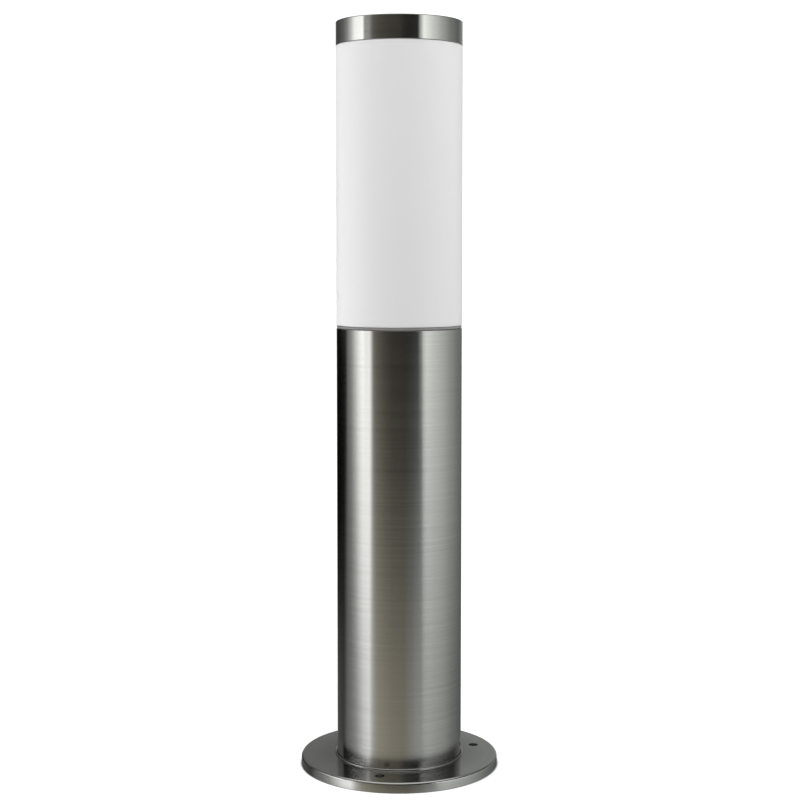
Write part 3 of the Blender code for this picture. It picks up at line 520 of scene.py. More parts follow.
def make_materials():
    """The material of each of the record's slots."""
    made = {
        "brushed_steel": turned_steel(),
        "galvanised_steel": spangled_zinc(),
        "opal_acrylic": opal_acrylic(),
        "green_yellow_insulation": striped_insulation(),
    }
    # Slot: ((one colour, the other), (smoothest, roughest))
    metals = {
        "bright_zinc": (((0.66, 0.68, 0.7), (0.74, 0.74, 0.73)), (0.2, 0.34)),
        "brass": (((0.7, 0.52, 0.24), (0.78, 0.6, 0.31)), (0.22, 0.38)),
        "tinned_copper": (((0.66, 0.62, 0.56), (0.74, 0.71, 0.66)), (0.28, 0.42)),
        "nickel_plate": (((0.66, 0.64, 0.6), (0.74, 0.72, 0.69)), (0.16, 0.3)),
    }
    finish = {"grain": 1800.0, "relief": 0.02 * MM, "metallic": 1.0, "patch": 160.0}
    for name, (colours, roughness) in metals.items():
        made[name] = mottled(name, colours, roughness, **finish)
    plastics = {
        "lamp_opal": (((0.86, 0.86, 0.85), (0.89, 0.89, 0.88)), (0.3, 0.4)),
        "lamp_white": (((0.83, 0.83, 0.82), (0.87, 0.87, 0.86)), (0.35, 0.45)),
        "board_white": (((0.78, 0.79, 0.78), (0.83, 0.84, 0.83)), (0.4, 0.55)),
        "grey_plastic": (((0.27, 0.265, 0.255), (0.31, 0.305, 0.295)), (0.45, 0.6)),
        "polyamide": (((0.78, 0.78, 0.75), (0.84, 0.84, 0.82)), (0.42, 0.55)),
        "rubber": (((0.02, 0.02, 0.02), (0.035, 0.035, 0.035)), (0.6, 0.75)),
        "brown_insulation": (((0.16, 0.07, 0.03), (0.2, 0.09, 0.04)), (0.38, 0.5)),
        "blue_insulation": (((0.04, 0.13, 0.46), (0.05, 0.16, 0.52)), (0.38, 0.5)),
    }
    for name, (colours, roughness) in plastics.items():
        made[name] = mottled(name, colours, roughness, grain=2200.0, relief=0.015 * MM)
    colours = ((0.86, 0.85, 0.82), (0.9, 0.89, 0.865))
    glaze = {"Coat Weight": 0.8, "Coat Roughness": 0.06}
    made["porcelain"] = mottled("porcelain", colours, (0.25, 0.35), 700.0, 0.01 * MM, **glaze)
    colours = ((0.012, 0.012, 0.014), (0.03, 0.028, 0.03))
    made["black_glass"] = mottled("black_glass", colours, (0.06, 0.14), 900.0, 0.01 * MM)
    return made


def paint(obj, slot):
    """Gives a piece its slot's material and no other."""
    obj.data.materials.clear()
    obj.data.materials.append(materials[slot])


# Mesh tools

SEAM = 0.0005 * MM  # points of a turned piece that are closer than this are one point
CAD_SEAM = 0.002 * MM  # the same for a CAD piece
FLAT_ANGLE = math.radians(1)  # CAD faces that turn by less than this are one face
THREAD_ROWS = 14  # per turn of a rolled thread


def evaluated_mesh(obj):
    """A new mesh of the object, with its modifiers applied."""
    bpy.context.view_layer.update()
    graph = bpy.context.evaluated_depsgraph_get()
    return bpy.data.meshes.new_from_object(obj.evaluated_get(graph))


def smooth(obj):
    """Smooth shading with sharp corners, where a large face keeps its own normal."""
    obj.data.shade_smooth()
    obj.data.set_sharp_from_angle(angle=SHARP_ANGLE)
    normals = obj.modifiers.new("Normals", "WEIGHTED_NORMAL")
    normals.keep_sharp = True


def add_object(name, mesh, at=(0, 0, 0), turn=UPWARDS):
    obj = bpy.data.objects.new(name, mesh)
    bpy.context.scene.collection.objects.link(obj)
    obj.location = at
    obj.rotation_euler = turn
    return obj


def add_shape(name, shape, at=(0, 0, 0), turn=UPWARDS):
    """An object made from a bmesh, which it frees."""
    mesh = bpy.data.meshes.new(name)
    shape.to_mesh(mesh)
    shape.free()
    return add_object(name, mesh, at, turn)


def rounded(corners, closed):
    """An outline with its corners rounded. A corner is (radius, z) or (radius, z, fillet)."""
    points = [Vector(corner[:2]) for corner in corners]
    outline = []
    for i, corner in enumerate(corners):
        fillet = corner[2] if len(corner) > 2 else 0
        if not fillet or (not closed and i in (0, len(corners) - 1)):
            outline.append(points[i])
            continue
        before = (points[i - 1] - points[i]).normalized()
        after = (points[(i + 1) % len(points)] - points[i]).normalized()
        half = before.angle(after) / 2
        centre = points[i] + (before + after).normalized() * fillet / math.sin(half)
        start = points[i] + before * fillet / math.tan(half) - centre
        end = points[i] + after * fillet / math.tan(half) - centre
        for step in range(FILLET_STEPS + 1):
            spoke = start.slerp(end, step / FILLET_STEPS).normalized()
            outline.append(centre + spoke * fillet)
    return outline


def turned(name, corners, at=(0, 0, 0), turn=UPWARDS, segments=FINE):
    """A turned piece. An outline that starts on the axis ends there, any other one is a ring."""
    ring = corners[0][0] > 0
    outline = rounded(corners, ring)
    shape = bmesh.new()
    verts = [shape.verts.new((point.x, 0, point.y)) for point in outline]
    edges = [shape.edges.new(pair) for pair in zip(verts, verts[1:])]
    if ring:
        edges.append(shape.edges.new((verts[-1], verts[0])))
    bmesh.ops.spin(
        shape,
        geom=[*verts, *edges],
        axis=(0, 0, 1),
        angle=2 * math.pi,
        steps=segments,
        use_merge=True,
    )
    bmesh.ops.remove_doubles(shape, verts=shape.verts, dist=SEAM)
    bmesh.ops.recalc_face_normals(shape, faces=shape.faces)
    return add_shape(name, shape, at, turn)


def ring_section(bore, radius, foot, top, fillets):
    """Corners of a plain ring. Its fillets, in millimetres, go from the bore's top outwards."""
    places = [(bore, top), (radius, top), (radius, foot), (bore, foot)]
    return [(*place, fillet * MM) for place, fillet in zip(places, fillets)]


def block(name, size, at, turn=UPWARDS):
    shape = bmesh.new()
    bmesh.ops.create_cube(shape, size=1.0, matrix=Matrix.Diagonal((*size, 1.0)))
    return add_shape(name, shape, at, turn)


def rod(name, radius, length, at, turn=UPWARDS, segments=SMALL):
    half = length / 2
    corners = [(0, half), (radius, half), (radius, -half), (0, -half)]
    return turned(name, corners, at, turn, segments)


def carve(obj, tools, operation="DIFFERENCE"):
    """Cuts the tools out of a piece, or joins or intersects it with them, and removes them."""
    for tool in tools:
        step = obj.modifiers.new(tool.name, "BOOLEAN")
        step.operation = operation
        step.solver = "EXACT"
        step.object = tool
    mesh = evaluated_mesh(obj)
    obj.modifiers.clear()
    obj.data = mesh
    mesh.name = obj.name
    for tool in tools:
        bpy.data.objects.remove(tool)


def round_edges(obj, width, segments=3):
    edges = obj.modifiers.new("Round edges", "BEVEL")
    edges.width = width
    edges.segments = segments
    edges.limit_method = "ANGLE"
    edges.angle_limit = SHARP_ANGLE


def stand_in(obj, body, slot, *nodes):
    """Finishes a new piece that replaces its CAD nodes."""
    paint(obj, slot)
    smooth(obj)
    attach(obj, body)
    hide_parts(*nodes)


def turned_extent(node):
    """Radius, foot and top of a CAD node that is turned about the object's axis."""
    low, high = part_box(node)
    return high.x, low.z, high.z


def threaded_shell(name, radius, depth, wall, pitch, foot, top, taper=0.0, draw=0.0):
    """A thin wall with a round rolled thread. radius is the crest's, and the ends run out plain.

    Over the height taper its foot is drawn in by draw.
    """
    segments = MIDDLING
    rows = round((top - foot) / pitch * THREAD_ROWS)
    shape = bmesh.new()
    skins = []
    for inset in (0, wall):
        skin = []
        for row in range(rows + 1):
            z = foot + (top - foot) * row / rows
            fade = min(1.0, max(0.0, z - foot - taper) / pitch, (top - z) / pitch)
            drawn = draw * max(0.0, 1 - (z - foot) / taper) ** 2 if taper else 0.0
            ring = []
            for i in range(segments):
                angle = 2 * math.pi * i / segments
                wave = math.cos(2 * math.pi * z / pitch - angle) * fade
                r = radius - drawn - inset - depth / 2 * (1 - wave)
                ring.append(shape.verts.new((r * math.cos(angle), r * math.sin(angle), z)))
            skin.append(ring)
        skins.append(skin)
    loop = [*skins[0], *reversed(skins[1])]
    for lower, upper in zip(loop, [*loop[1:], loop[0]]):
        for i in range(segments):
            j = (i + 1) % segments
            shape.faces.new((lower[i], lower[j], upper[j], upper[i]))
    bmesh.ops.recalc_face_normals(shape, faces=shape.faces)
    return add_shape(name, shape)


# Post

LIP_RADIUS = 39.2 * MM
LIP_FILLET = 0.65 * MM
FLANGE_FACE = 6.0 * MM
FLANGE_SHEET = 1.4 * MM
RIM_TOP_RADIUS = 60.0 * MM
SHOULDER_FILLET = 1.3 * MM
TUBE_WALL = 1.2 * MM
CLEARANCE = 0.3 * MM
HOLE_CIRCLE_RADIUS = 48.3 * MM
HOLE_RADIUS = 2.9 * MM
HOLE_ANGLES = (16.3, 136.3, 256.3)  # degrees from +X towards +Y
CABLE_HOLE_RADIUS = 10.0 * MM
GROMMET_BORE_RADIUS = 4.6 * MM


def hole_tools():
    """Rods that cut the fixing holes through flange and plate."""
    tools = []
    for angle in map(math.radians, HOLE_ANGLES):
        at = (HOLE_CIRCLE_RADIUS * math.cos(angle), HOLE_CIRCLE_RADIUS * math.sin(angle), 0)
        tools.append(rod("hole_tool", HOLE_RADIUS, 4 * FLANGE_FACE, at))
    return tools


def make_flange():
    rim, _, lip_top = turned_extent("base_flange")
    tube_radius = turned_extent("post_tube")[0]
    bore = tube_radius + CLEARANCE
    underside = FLANGE_FACE - FLANGE_SHEET
    corners = [(bore, lip_top, 0.2 * MM), (LIP_RADIUS, lip_top, LIP_FILLET)]
    corners += [(LIP_RADIUS, FLANGE_FACE, 0.2 * MM), (RIM_TOP_RADIUS, FLANGE_FACE, SHOULDER_FILLET)]
    corners += [(rim, 0, 0.12 * MM), (rim - FLANGE_SHEET, 0, 0.12 * MM)]
    corners += [(RIM_TOP_RADIUS - FLANGE_SHEET, underside, 0.5 * MM), (bore, underside, 0.12 * MM)]
    flange = turned("flange", corners)
    carve(flange, hole_tools())
    stand_in(flange, "post", "brushed_steel", "base_flange")


def make_plate():
    extent = turned_extent("base_plate")
    plate = turned("plate", ring_section(CABLE_HOLE_RADIUS, *extent, (0.3, 0.4, 0.3, 0.3)))
    carve(plate, hole_tools())
    stand_in(plate, "post", "galvanised_steel", "base_plate")


def make_grommet():
    radius, foot, top = turned_extent("cable_grommet")
    _, _, plate_top = turned_extent("base_plate")
    neck = CABLE_HOLE_RADIUS - CLEARANCE
    flange_foot = plate_top + CLEARANCE
    corners = [(GROMMET_BORE_RADIUS, top, 0.6 * MM), (radius, top, 0.7 * MM)]
    corners += [(radius, flange_foot, 0.3 * MM), (neck, flange_foot, 0.2 * MM)]
    corners += [(neck, foot, 0.5 * MM), (GROMMET_BORE_RADIUS, foot, 0.5 * MM)]
    grommet = turned("grommet", corners, segments=MIDDLING)
    stand_in(grommet, "post", "rubber", "cable_grommet")


def make_tube():
    radius, foot, top = turned_extent("post_tube")
    corners = ring_section(radius - TUBE_WALL, radius, foot, top, (0.15, 0.22, 0.15, 0.15))
    stand_in(turned("tube", corners), "post", "brushed_steel", "post_tube")


# Collar and head

RING_LIP = 1.2 * MM
RING_SKIRT_RADIUS = 36.5 * MM
RING_BORE_RADIUS = 35.6 * MM
SHADE_WALL = 2.8 * MM
ROOF_RADIUS = 36.4 * MM
ROOF_THICKNESS = 2.8 * MM
NECK_RADIUS = 35.1 * MM
NECK_BORE_RADIUS = 31.0 * MM
SHOULDER_THICKNESS = 3.4 * MM
SEAL_RADIUS = 1.0 * MM
SEAL_SIDES = 20
CAP_SHEET = 1.2 * MM
CAP_FILLET = 0.5 * MM
GASKET_BORE_RADIUS = 26.0 * MM


def make_seat_ring():
    radius, foot, top = turned_extent("seat_ring")
    lip_foot = top - RING_LIP
    corners = [(RING_BORE_RADIUS, top, 0.2 * MM), (radius, top, 0.25 * MM)]
    corners += [(radius, lip_foot, 0.15 * MM), (RING_SKIRT_RADIUS, lip_foot, 0.1 * MM)]
    corners += [(RING_SKIRT_RADIUS, foot, 0.3 * MM), (RING_BORE_RADIUS, foot, 0.2 * MM)]
    stand_in(turned("ring", corners), "collar", "grey_plastic", "seat_ring")


def make_diffuser():
    radius, foot, top = turned_extent("diffuser")
    shoulder = turned_extent("seat_ring")[2] + CLEARANCE
    step = turned_extent("top_cap")[1] - CLEARANCE
    bore = radius - SHADE_WALL
    corners = [(0, top), (ROOF_RADIUS, top, 0.6 * MM), (ROOF_RADIUS, step, 0.2 * MM)]
    corners += [(radius, step, 0.3 * MM), (radius, shoulder, 0.35 * MM)]
    corners += [(NECK_RADIUS, shoulder, 0.2 * MM)]
    for name in ("upper", "lower"):
        low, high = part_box(f"neck_o_ring_{name}")
        floor = high.x - 2 * SEAL_RADIUS - CLEARANCE
        groove_top, groove_foot = high.z + CLEARANCE, low.z - CLEARANCE
        corners += [(NECK_RADIUS, groove_top, 0.15 * MM), (floor, groove_top, 0.15 * MM)]
        corners += [(floor, groove_foot, 0.15 * MM), (NECK_RADIUS, groove_foot, 0.15 * MM)]
    corners += [(NECK_RADIUS, foot, 0.5 * MM), (NECK_BORE_RADIUS, foot, 0.4 * MM)]
    ledge, roof = shoulder + SHOULDER_THICKNESS, top - ROOF_THICKNESS
    corners += [(NECK_BORE_RADIUS, shoulder, 0.8 * MM), (bore, ledge, 1.2 * MM)]
    corners += [(bore, roof, 3.0 * MM), (0, roof)]
    stand_in(turned("shade", corners), "head", "opal_acrylic", "diffuser")


def make_seals():
    angles = [2 * math.pi * i / SEAL_SIDES for i in range(SEAL_SIDES)]
    circle = [(SEAL_RADIUS * math.cos(angle), SEAL_RADIUS * math.sin(angle)) for angle in angles]
    for name in ("upper", "lower"):
        low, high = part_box(f"neck_o_ring_{name}")
        centre, middle = high.x - SEAL_RADIUS, (low.z + high.z) / 2
        seal = turned(f"o_ring_{name}", [(centre + x, middle - z) for x, z in circle])
        stand_in(seal, "head", "rubber", f"neck_o_ring_{name}")


def make_cap():
    radius, foot, top = turned_extent("top_cap")
    bore = radius - CAP_SHEET
    corners = [(0, top), (radius, top, CAP_FILLET), (radius, foot, 0.15 * MM)]
    corners += [(bore, foot, 0.1 * MM), (bore, top - CAP_SHEET, 0.6 * MM), (0, top - CAP_SHEET)]
    stand_in(turned("cap", corners), "head", "brushed_steel", "top_cap")


def make_gasket():
    corners = ring_section(GASKET_BORE_RADIUS, *turned_extent("cap_gasket"), (0.3,) * 4)
    stand_in(turned("gasket", corners), "head", "rubber", "cap_gasket")


# Bracket, lampholder, terminals and wires

M4 = (1.9 * MM, 3.6 * MM, 2.4 * MM)  # radius of the shaft and of the head, height of the head
M3 = (1.4 * MM, 2.7 * MM, 2.0 * MM)
THREAD_PITCH = 0.7 * MM
THREAD_ROOT = 0.86  # as a share of the shaft's radius
HEAD_CROWN = 0.45  # fillet round the head's top, as a share of the head's height
SLOT = (0.8 * MM, 1.0 * MM)  # width, depth
NUT_BORE_RADIUS = 2.0 * MM
WASHER_BORE_RADIUS = 2.3 * MM
HOLDER_RADIUS = 20.5 * MM
HOLDER_FOOT_HEIGHT = 17.5 * MM
HOLDER_EDGE = 1.2 * MM
HOLDER_BORE_RADIUS = 14.6 * MM
HOLDER_FLOOR = 21.2 * MM
HOLDER_SCREW_X = 14.0 * MM
HOLDER_SCREW_HOLE = (2.2 * MM, 11.0 * MM)  # radius, depth
WIRE_HOLE = (1.6 * MM, 10.0 * MM)
WIRE_HOLE_X = 8.0 * MM
WIRE_HOLE_Y = 16.5 * MM
HOLDER_THREAD = 0.3 * MM  # depth
HOLDER_THREAD_WALL = 0.3 * MM
EDISON_PITCH = 3.63 * MM
TERMINAL_EDGE = 0.6 * MM
TUNNEL_SIDE = 5.6 * MM
WELL_RADIUS = 1.8 * MM
GROOVE = (1.0 * MM, 1.0 * MM)  # width, depth, between two poles
CLAMP_SLOT = (2.0 * MM, 0.4 * MM)  # width, depth
CLAMP_TURN = 1.3  # radians from one clamp screw's slot to the next one's
WIRE_RADIUS = 1.0 * MM
WIRE_STEPS = 5  # between two knots
WIRE_ROUNDNESS = 6
# Knots of the routes: shares of the way to the wire's far end in x and in y, millimetres of height
SUPPLY_ROUTE = [(0, 0, 207), (0, 0, 212), (0, 0, 217.5), (0.1, 0.15, 223), (0.5, 0.51, 227.5)]
SUPPLY_ROUTE += [(0.85, 0.84, 229.5), (1, 0.98, 233), (1, 1, 237), (1, 1, 243)]
EARTH_ROUTE = [(0, 0, 207), (0, 0, 212), (0, 0, 217), (0.18, 0, 222.5), (0.5, 0.29, 225)]
EARTH_ROUTE += [(0.82, 0.71, 221.5), (1, 1, 216), (1, 1, 208.5)]


def middle_of(node):
    low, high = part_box(node)
    return (low + high) / 2


def axis_of(node, turn):
    """Foot and length of a CAD piece along its own +Z."""
    low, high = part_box(node)
    axis = turn.to_matrix() @ Vector((0, 0, 1))
    length = abs((high - low).dot(axis))
    return (low + high) / 2 - axis * length / 2, length


def soften(node, slot, width, segments=3):
    """Dresses a CAD piece that stays, with its edges rounded."""
    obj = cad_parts[node]
    paint(obj, slot)
    obj.modifiers.new("Weld", "WELD").merge_threshold = CAD_SEAM
    faces = obj.modifiers.new("Whole faces", "DECIMATE")
    faces.decimate_type = "DISSOLVE"
    faces.angle_limit = FLAT_ANGLE
    round_edges(obj, width, segments)
    smooth(obj)


def pan_screw(node, size, turn, slot_turn, pointed=False):
    """A slotted pan-head screw with thread ridges, in the place of a CAD screw."""
    shaft, head, height = size
    foot, length = axis_of(node, turn)
    under = length - height
    corners = [(0, length), (head, length, height * HEAD_CROWN)]
    corners += [(head, under, 0.2 * MM), (shaft, under)]
    # Ridges from under the head to the tip, which ends in a point or a blunt cone
    z = under - THREAD_PITCH
    tip = 2.5 * shaft if pointed else 1.5 * THREAD_PITCH
    while z > tip:
        crest, valley = z + 0.3 * THREAD_PITCH, z - 0.2 * THREAD_PITCH
        corners += [(shaft, crest), (shaft * THREAD_ROOT, valley)]
        z -= THREAD_PITCH
    end = shaft * (0.15 if pointed else 0.7)
    corners += [(shaft * THREAD_ROOT, tip * 0.6), (end, 0), (0, 0)]
    obj = turned(f"{node}_fine", corners, foot, turn)
    axis = turn.to_matrix() @ Vector((0, 0, 1))
    width, depth = SLOT
    tool = block("slot_tool", (4 * head, width, 2 * depth), foot + axis * length)
    tool.rotation_euler = (turn.to_matrix() @ Matrix.Rotation(slot_turn, 3, "Z")).to_euler()
    carve(obj, [tool])
    stand_in(obj, "post", "bright_zinc", node)


def make_screws():
    """Each screw's slot stands at the angle at which the screw came tight."""
    pan_screw("bracket_screw_left", M4, UPWARDS, 0.3)
    pan_screw("bracket_screw_right", M4, UPWARDS, 1.1)
    pan_screw("holder_screw_left", M4, DOWNWARDS, 0.7)
    pan_screw("holder_screw_right", M4, DOWNWARDS, 2.2)
    pan_screw("block_screw", M3, TO_BACK, 0.5, pointed=True)
    pan_screw("earth_screw", M4, TO_BACK, 1.9)


def make_earth_washer():
    low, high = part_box("earth_washer")
    foot, length = axis_of("earth_washer", TO_BACK)
    edge = (high.x - low.x) / 2
    corners = ring_section(WASHER_BORE_RADIUS, edge, 0, length, (0.1, 0.2, 0.1, 0.1))
    washer = turned("earth_washer_fine", corners, foot, TO_BACK)
    stand_in(washer, "post", "bright_zinc", "earth_washer")


def make_earth_nut():
    """A hexagon with both ends chamfered by turning."""
    low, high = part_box("earth_nut")
    foot, length = axis_of("earth_nut", TO_BACK)
    corner = (high.z - low.z) / 2
    flat = (high.x - low.x) / 2
    nut = rod("earth_nut_fine", corner, length, middle_of("earth_nut"), TO_BACK, segments=6)
    nut.rotation_euler.rotate_axis("Z", math.radians(90))
    drop = (corner - flat) * math.tan(math.radians(30))
    profile = [(0, length), (flat, length), (corner, length - drop)]
    profile += [(corner, drop), (flat, 0), (0, 0)]
    carve(nut, [turned("chamfer_tool", profile, foot, TO_BACK)], "INTERSECT")
    carve(nut, [rod("bore_tool", NUT_BORE_RADIUS, 3 * length, middle_of("earth_nut"), TO_BACK)])
    stand_in(nut, "post", "bright_zinc", "earth_nut")


def soften_cad_pieces():
    """The bracket, its tabs, the contacts and the barrels keep their CAD shapes."""
    soften("socket_bracket", "galvanised_steel", 0.2 * MM)
    soften("bracket_tab_left", "galvanised_steel", 0.25 * MM)
    soften("bracket_tab_right", "galvanised_steel", 0.25 * MM)
    soften("holder_centre_contact", "brass", 0.08 * MM, 2)
    soften("earth_ring_terminal", "tinned_copper", 0.12 * MM, 2)
    for pole in ("live", "neutral", "earth"):
        soften(f"barrel_{pole}", "brass", 0.25 * MM)


def make_lampholder():
    radius, foot, top = turned_extent("lampholder_body")
    shoulder, floor = foot + HOLDER_FOOT_HEIGHT, foot + HOLDER_FLOOR
    corners = [(0, floor), (HOLDER_BORE_RADIUS, floor, 0.8 * MM)]
    corners += [(HOLDER_BORE_RADIUS, top, 0.5 * MM), (HOLDER_RADIUS, top, HOLDER_EDGE)]
    corners += [(HOLDER_RADIUS, shoulder + HOLDER_EDGE, 0.8 * MM)]
    corners += [(radius, shoulder - HOLDER_EDGE, 1.5 * MM), (radius, foot, HOLDER_EDGE), (0, foot)]
    holder = turned("holder", corners, segments=MIDDLING)
    tools = []
    for side in (-1, 1):
        holes = [(*HOLDER_SCREW_HOLE, (side * HOLDER_SCREW_X, 0, foot))]
        holes += [(*WIRE_HOLE, (side * WIRE_HOLE_X, WIRE_HOLE_Y, foot))]
        for hole_radius, depth, at in holes:
            tools.append(rod("hole_tool", hole_radius, 2 * depth, at))
    carve(holder, tools)
    stand_in(holder, "post", "porcelain", "lampholder_body")


def make_holder_thread():
    radius, foot, top = turned_extent("holder_thread_shell")
    sizes = (radius, HOLDER_THREAD, HOLDER_THREAD_WALL, EDISON_PITCH, foot, top)
    shell = threaded_shell("holder_thread", *sizes)
    stand_in(shell, "post", "brass", "holder_thread_shell")


def make_terminal_block():
    """A block with a tunnel for each pole, wells for the clamp screws and grooves between poles."""
    low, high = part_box("terminal_block")
    body = block("terminals", high - low, (low + high) / 2)
    round_edges(body, TERMINAL_EDGE)
    width, depth = GROOVE
    tools = []
    poles = [middle_of(f"barrel_{pole}") for pole in ("live", "neutral", "earth")]
    for axis in poles:
        tools.append(block("tunnel_tool", (TUNNEL_SIDE, TUNNEL_SIDE, 2 * (high.z - low.z)), axis))
    for number in range(1, 7):
        screw_at = middle_of(f"terminal_screw_{number}")
        reach = high.y - poles[0].y
        at = Vector((screw_at.x, high.y, screw_at.z))
        tools.append(rod("well_tool", WELL_RADIUS, 2 * reach, at, TO_BACK))
    fixing = middle_of("block_screw")
    tools.append(rod("fixing_tool", WELL_RADIUS, 3 * (high.y - low.y), fixing, TO_BACK))
    for before, after in zip(poles, poles[1:]):
        if abs((before.x + after.x) / 2 - fixing.x) > WELL_RADIUS:
            groove_at = ((before.x + after.x) / 2, high.y, (low.z + high.z) / 2)
            groove = (width, 2 * depth, 2 * (high.z - low.z))
            tools.append(block("groove_tool", groove, groove_at))
    carve(body, tools)
    stand_in(body, "post", "polyamide", "terminal_block")


def make_clamp_screws():
    width, depth = CLAMP_SLOT
    for number in range(1, 7):
        node = f"terminal_screw_{number}"
        low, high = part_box(node)
        foot, length = axis_of(node, TO_BACK)
        radius = (high.z - low.z) / 2
        corners = [(0, length), (radius, length, 0.2 * MM), (radius, 0, 0.3 * MM), (0, 0)]
        clamp = turned(f"clamp_{number}", corners, foot, TO_BACK)
        tool = block("slot_tool", (4 * radius, 2 * depth, width), foot + Vector((0, length, 0)))
        tool.rotation_euler = (0, number * CLAMP_TURN, 0)
        carve(clamp, [tool])
        stand_in(clamp, "post", "bright_zinc", node)


def smooth_route(knots):
    """Points on a smooth curve through the knots (Catmull-Rom)."""
    ends = [2 * knots[0] - knots[1], *knots, 2 * knots[-1] - knots[-2]]
    route = []
    for before, start, end, after in zip(ends, ends[1:], ends[2:], ends[3:]):
        linear = end - before
        square = 2 * before - 5 * start + 4 * end - after
        cube = 3 * start - before - 3 * end + after
        for t in (step / WIRE_STEPS for step in range(WIRE_STEPS)):
            route.append(start + (linear * t + square * t**2 + cube * t**3) / 2)
    return [*route, knots[-1]]


def wire(node, start, end, route, slot):
    """An insulated wire in the place of its CAD tube, with start and end as (x, y)."""
    across = Vector(end) - Vector(start)
    knots = []
    for share_x, share_y, height in route:
        x, y = start[0] + across.x * share_x, start[1] + across.y * share_y
        knots.append(Vector((x, y, height * MM)))
    curve = bpy.data.curves.new(node, "CURVE")
    curve.dimensions = "3D"
    curve.bevel_depth = WIRE_RADIUS
    curve.bevel_resolution = WIRE_ROUNDNESS
    curve.use_fill_caps = True
    points = smooth_route(knots)
    spline = curve.splines.new("POLY")
    spline.points.add(len(points) - 1)
    for point, position in zip(spline.points, points):
        point.co = (*position, 1.0)
    drawn = add_object("drawn_wire", curve)
    mesh = evaluated_mesh(drawn)
    bpy.data.objects.remove(drawn)
    stand_in(add_object(f"{node}_fine", mesh), "post", slot, node)


def make_wires():
    low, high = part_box("earth_wire")
    crimp = (high.x - WIRE_RADIUS, low.y + WIRE_RADIUS)
    for pole, side, slot in (("live", -1, "brown_insulation"), ("neutral", 1, "blue_insulation")):
        start = middle_of(f"barrel_{pole}")
        wire(f"{pole}_wire", start.xy, (side * WIRE_HOLE_X, WIRE_HOLE_Y), SUPPLY_ROUTE, slot)
    start = middle_of("barrel_earth")
    wire("earth_wire", start.xy, crimp, EARTH_ROUTE, "green_yellow_insulation")


# Lamp

GLOBE_RADIUS = 28.0 * MM
GLOBE_WALL = 1.2 * MM
GLOBE_STEPS = 28
BODY_STEPS = 24
BODY_NECK_RADIUS = 13.7 * MM
BODY_FLARE_POWER = 1.2
SPIGOT_RADIUS = 11.9 * MM
LAMP_CAP_WALL = 0.3 * MM
LAMP_CAP_THREAD = 0.6 * MM
LAMP_CAP_TAPER = 2.8 * MM
LAMP_CAP_DRAW = 1.65 * MM
INSULATOR_RIM = 1.0 * MM
CHIP_SIZE = (3.5 * MM, 2.8 * MM, 1.2 * MM)
CHIP_RINGS = ((14.5 * MM, 12), (6.5 * MM, 5))  # radius, number of chips


def make_globe():
    """The opal globe, open below. Returns the radius of its rim."""
    _, foot, top = turned_extent("lamp_globe")
    centre = top - GLOBE_RADIUS
    corners = []
    down, up = range(GLOBE_STEPS + 1), range(GLOBE_STEPS, -1, -1)
    for radius, steps in ((GLOBE_RADIUS, down), (GLOBE_RADIUS - GLOBE_WALL, up)):
        last = math.asin((foot - centre) / radius)
        for step in steps:
            angle = math.pi / 2 + (last - math.pi / 2) * step / GLOBE_STEPS
            corners.append((radius * math.cos(angle), centre + radius * math.sin(angle)))
    corners[0], corners[-1] = (0, corners[0][1]), (0, corners[-1][1])
    stand_in(turned("globe", corners), "lamp", "lamp_opal", "lamp_globe")
    return math.sqrt(GLOBE_RADIUS**2 - (foot - centre) ** 2)


def make_lamp_body(rim):
    """The white body flares from the neck to the globe's rim along a smooth S."""
    low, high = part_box("lamp_body")
    cap_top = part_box("lamp_screw_cap")[1].z
    board_low, board_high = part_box("lamp_led_board")
    recess = board_high.x + 2 * CLEARANCE
    floor = board_low.z - CLEARANCE
    foot = cap_top + CLEARANCE
    corners = [(0, floor), (recess, floor, 0.2 * MM), (recess, high.z, 0.2 * MM)]
    for step in range(BODY_STEPS, -1, -1):
        t = step / BODY_STEPS
        flare = (1 - math.cos(math.pi * t**BODY_FLARE_POWER)) / 2
        radius = BODY_NECK_RADIUS + (rim - BODY_NECK_RADIUS) * flare
        corners.append((radius, foot + (high.z - foot) * t))
    corners += [(SPIGOT_RADIUS, foot, 0.2 * MM), (SPIGOT_RADIUS, low.z, 0.3 * MM), (0, low.z)]
    stand_in(turned("lamp_shell", corners), "lamp", "lamp_white", "lamp_body")


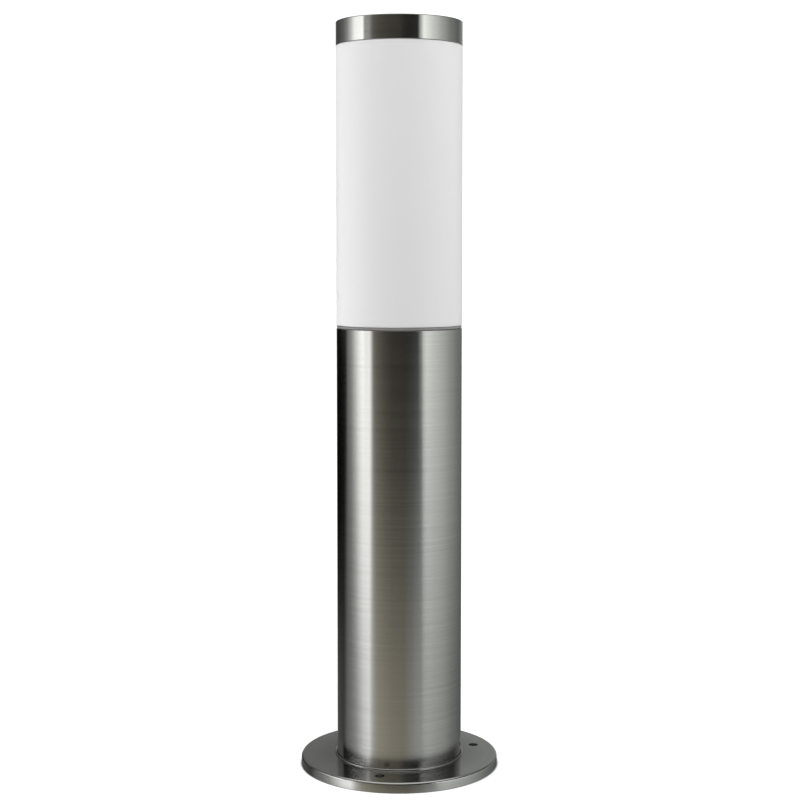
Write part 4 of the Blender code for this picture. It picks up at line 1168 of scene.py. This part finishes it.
def make_led_board():
    """A round board with its chips in two rings."""
    edge, foot, top = turned_extent("lamp_led_board")
    corners = [(0, top), (edge, top, 0.2 * MM), (edge, foot, 0.2 * MM), (0, foot)]
    board = turned("led_board", corners, segments=MIDDLING)
    chips = []
    for radius, count in CHIP_RINGS:
        for number in range(count):
            turn = Matrix.Rotation(2 * math.pi * number / count, 3, "Z")
            at = turn @ Vector((radius, 0, 0)) + Vector((0, 0, top))
            chips.append(block("chip", CHIP_SIZE, at, turn.to_euler()))
    carve(board, chips, "UNION")
    stand_in(board, "lamp", "board_white", "lamp_led_board")


def make_lamp_cap():
    radius, foot, top = turned_extent("lamp_screw_cap")
    sizes = (radius, LAMP_CAP_THREAD, LAMP_CAP_WALL, EDISON_PITCH, foot, top)
    shell = threaded_shell("lamp_thread", *sizes, LAMP_CAP_TAPER, LAMP_CAP_DRAW)
    stand_in(shell, "lamp", "nickel_plate", "lamp_screw_cap")


def make_lamp_tip():
    """The black insulator under the screw cap, with the centre contact on it."""
    radius, foot, top = turned_extent("lamp_insulator")
    rim = turned_extent("lamp_screw_cap")[1] + INSULATOR_RIM
    corners = [(0, top), (radius, top, 0.3 * MM), (radius, rim, 0.6 * MM)]
    corners += [(radius / 2, foot, 0.8 * MM), (0, foot)]
    insulator = turned("insulator", corners, segments=MIDDLING)
    stand_in(insulator, "lamp", "black_glass", "lamp_insulator")

    low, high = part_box("lamp_contact")
    radius = high.y
    corners = [(0, high.z), (radius, high.z, 0.15 * MM), (radius, (low.z + high.z) / 2, 0.4 * MM)]
    corners += [(radius * 0.5, low.z, 0.6 * MM), (0, low.z)]
    contact = turned("lamp_tip", corners, segments=MIDDLING)
    stand_in(contact, "lamp", "nickel_plate", "lamp_contact")


materials = make_materials()
make_camera()
make_tent()
make_soft_box()
make_floor()
make_flange()
make_plate()
make_grommet()
make_tube()
make_seat_ring()
make_diffuser()
make_seals()
make_cap()
make_gasket()
soften_cad_pieces()
make_screws()
make_earth_washer()
make_earth_nut()
make_lampholder()
make_holder_thread()
make_terminal_block()
make_clamp_screws()
make_wires()
make_lamp_body(make_globe())
make_led_board()
make_lamp_cap()
make_lamp_tip()
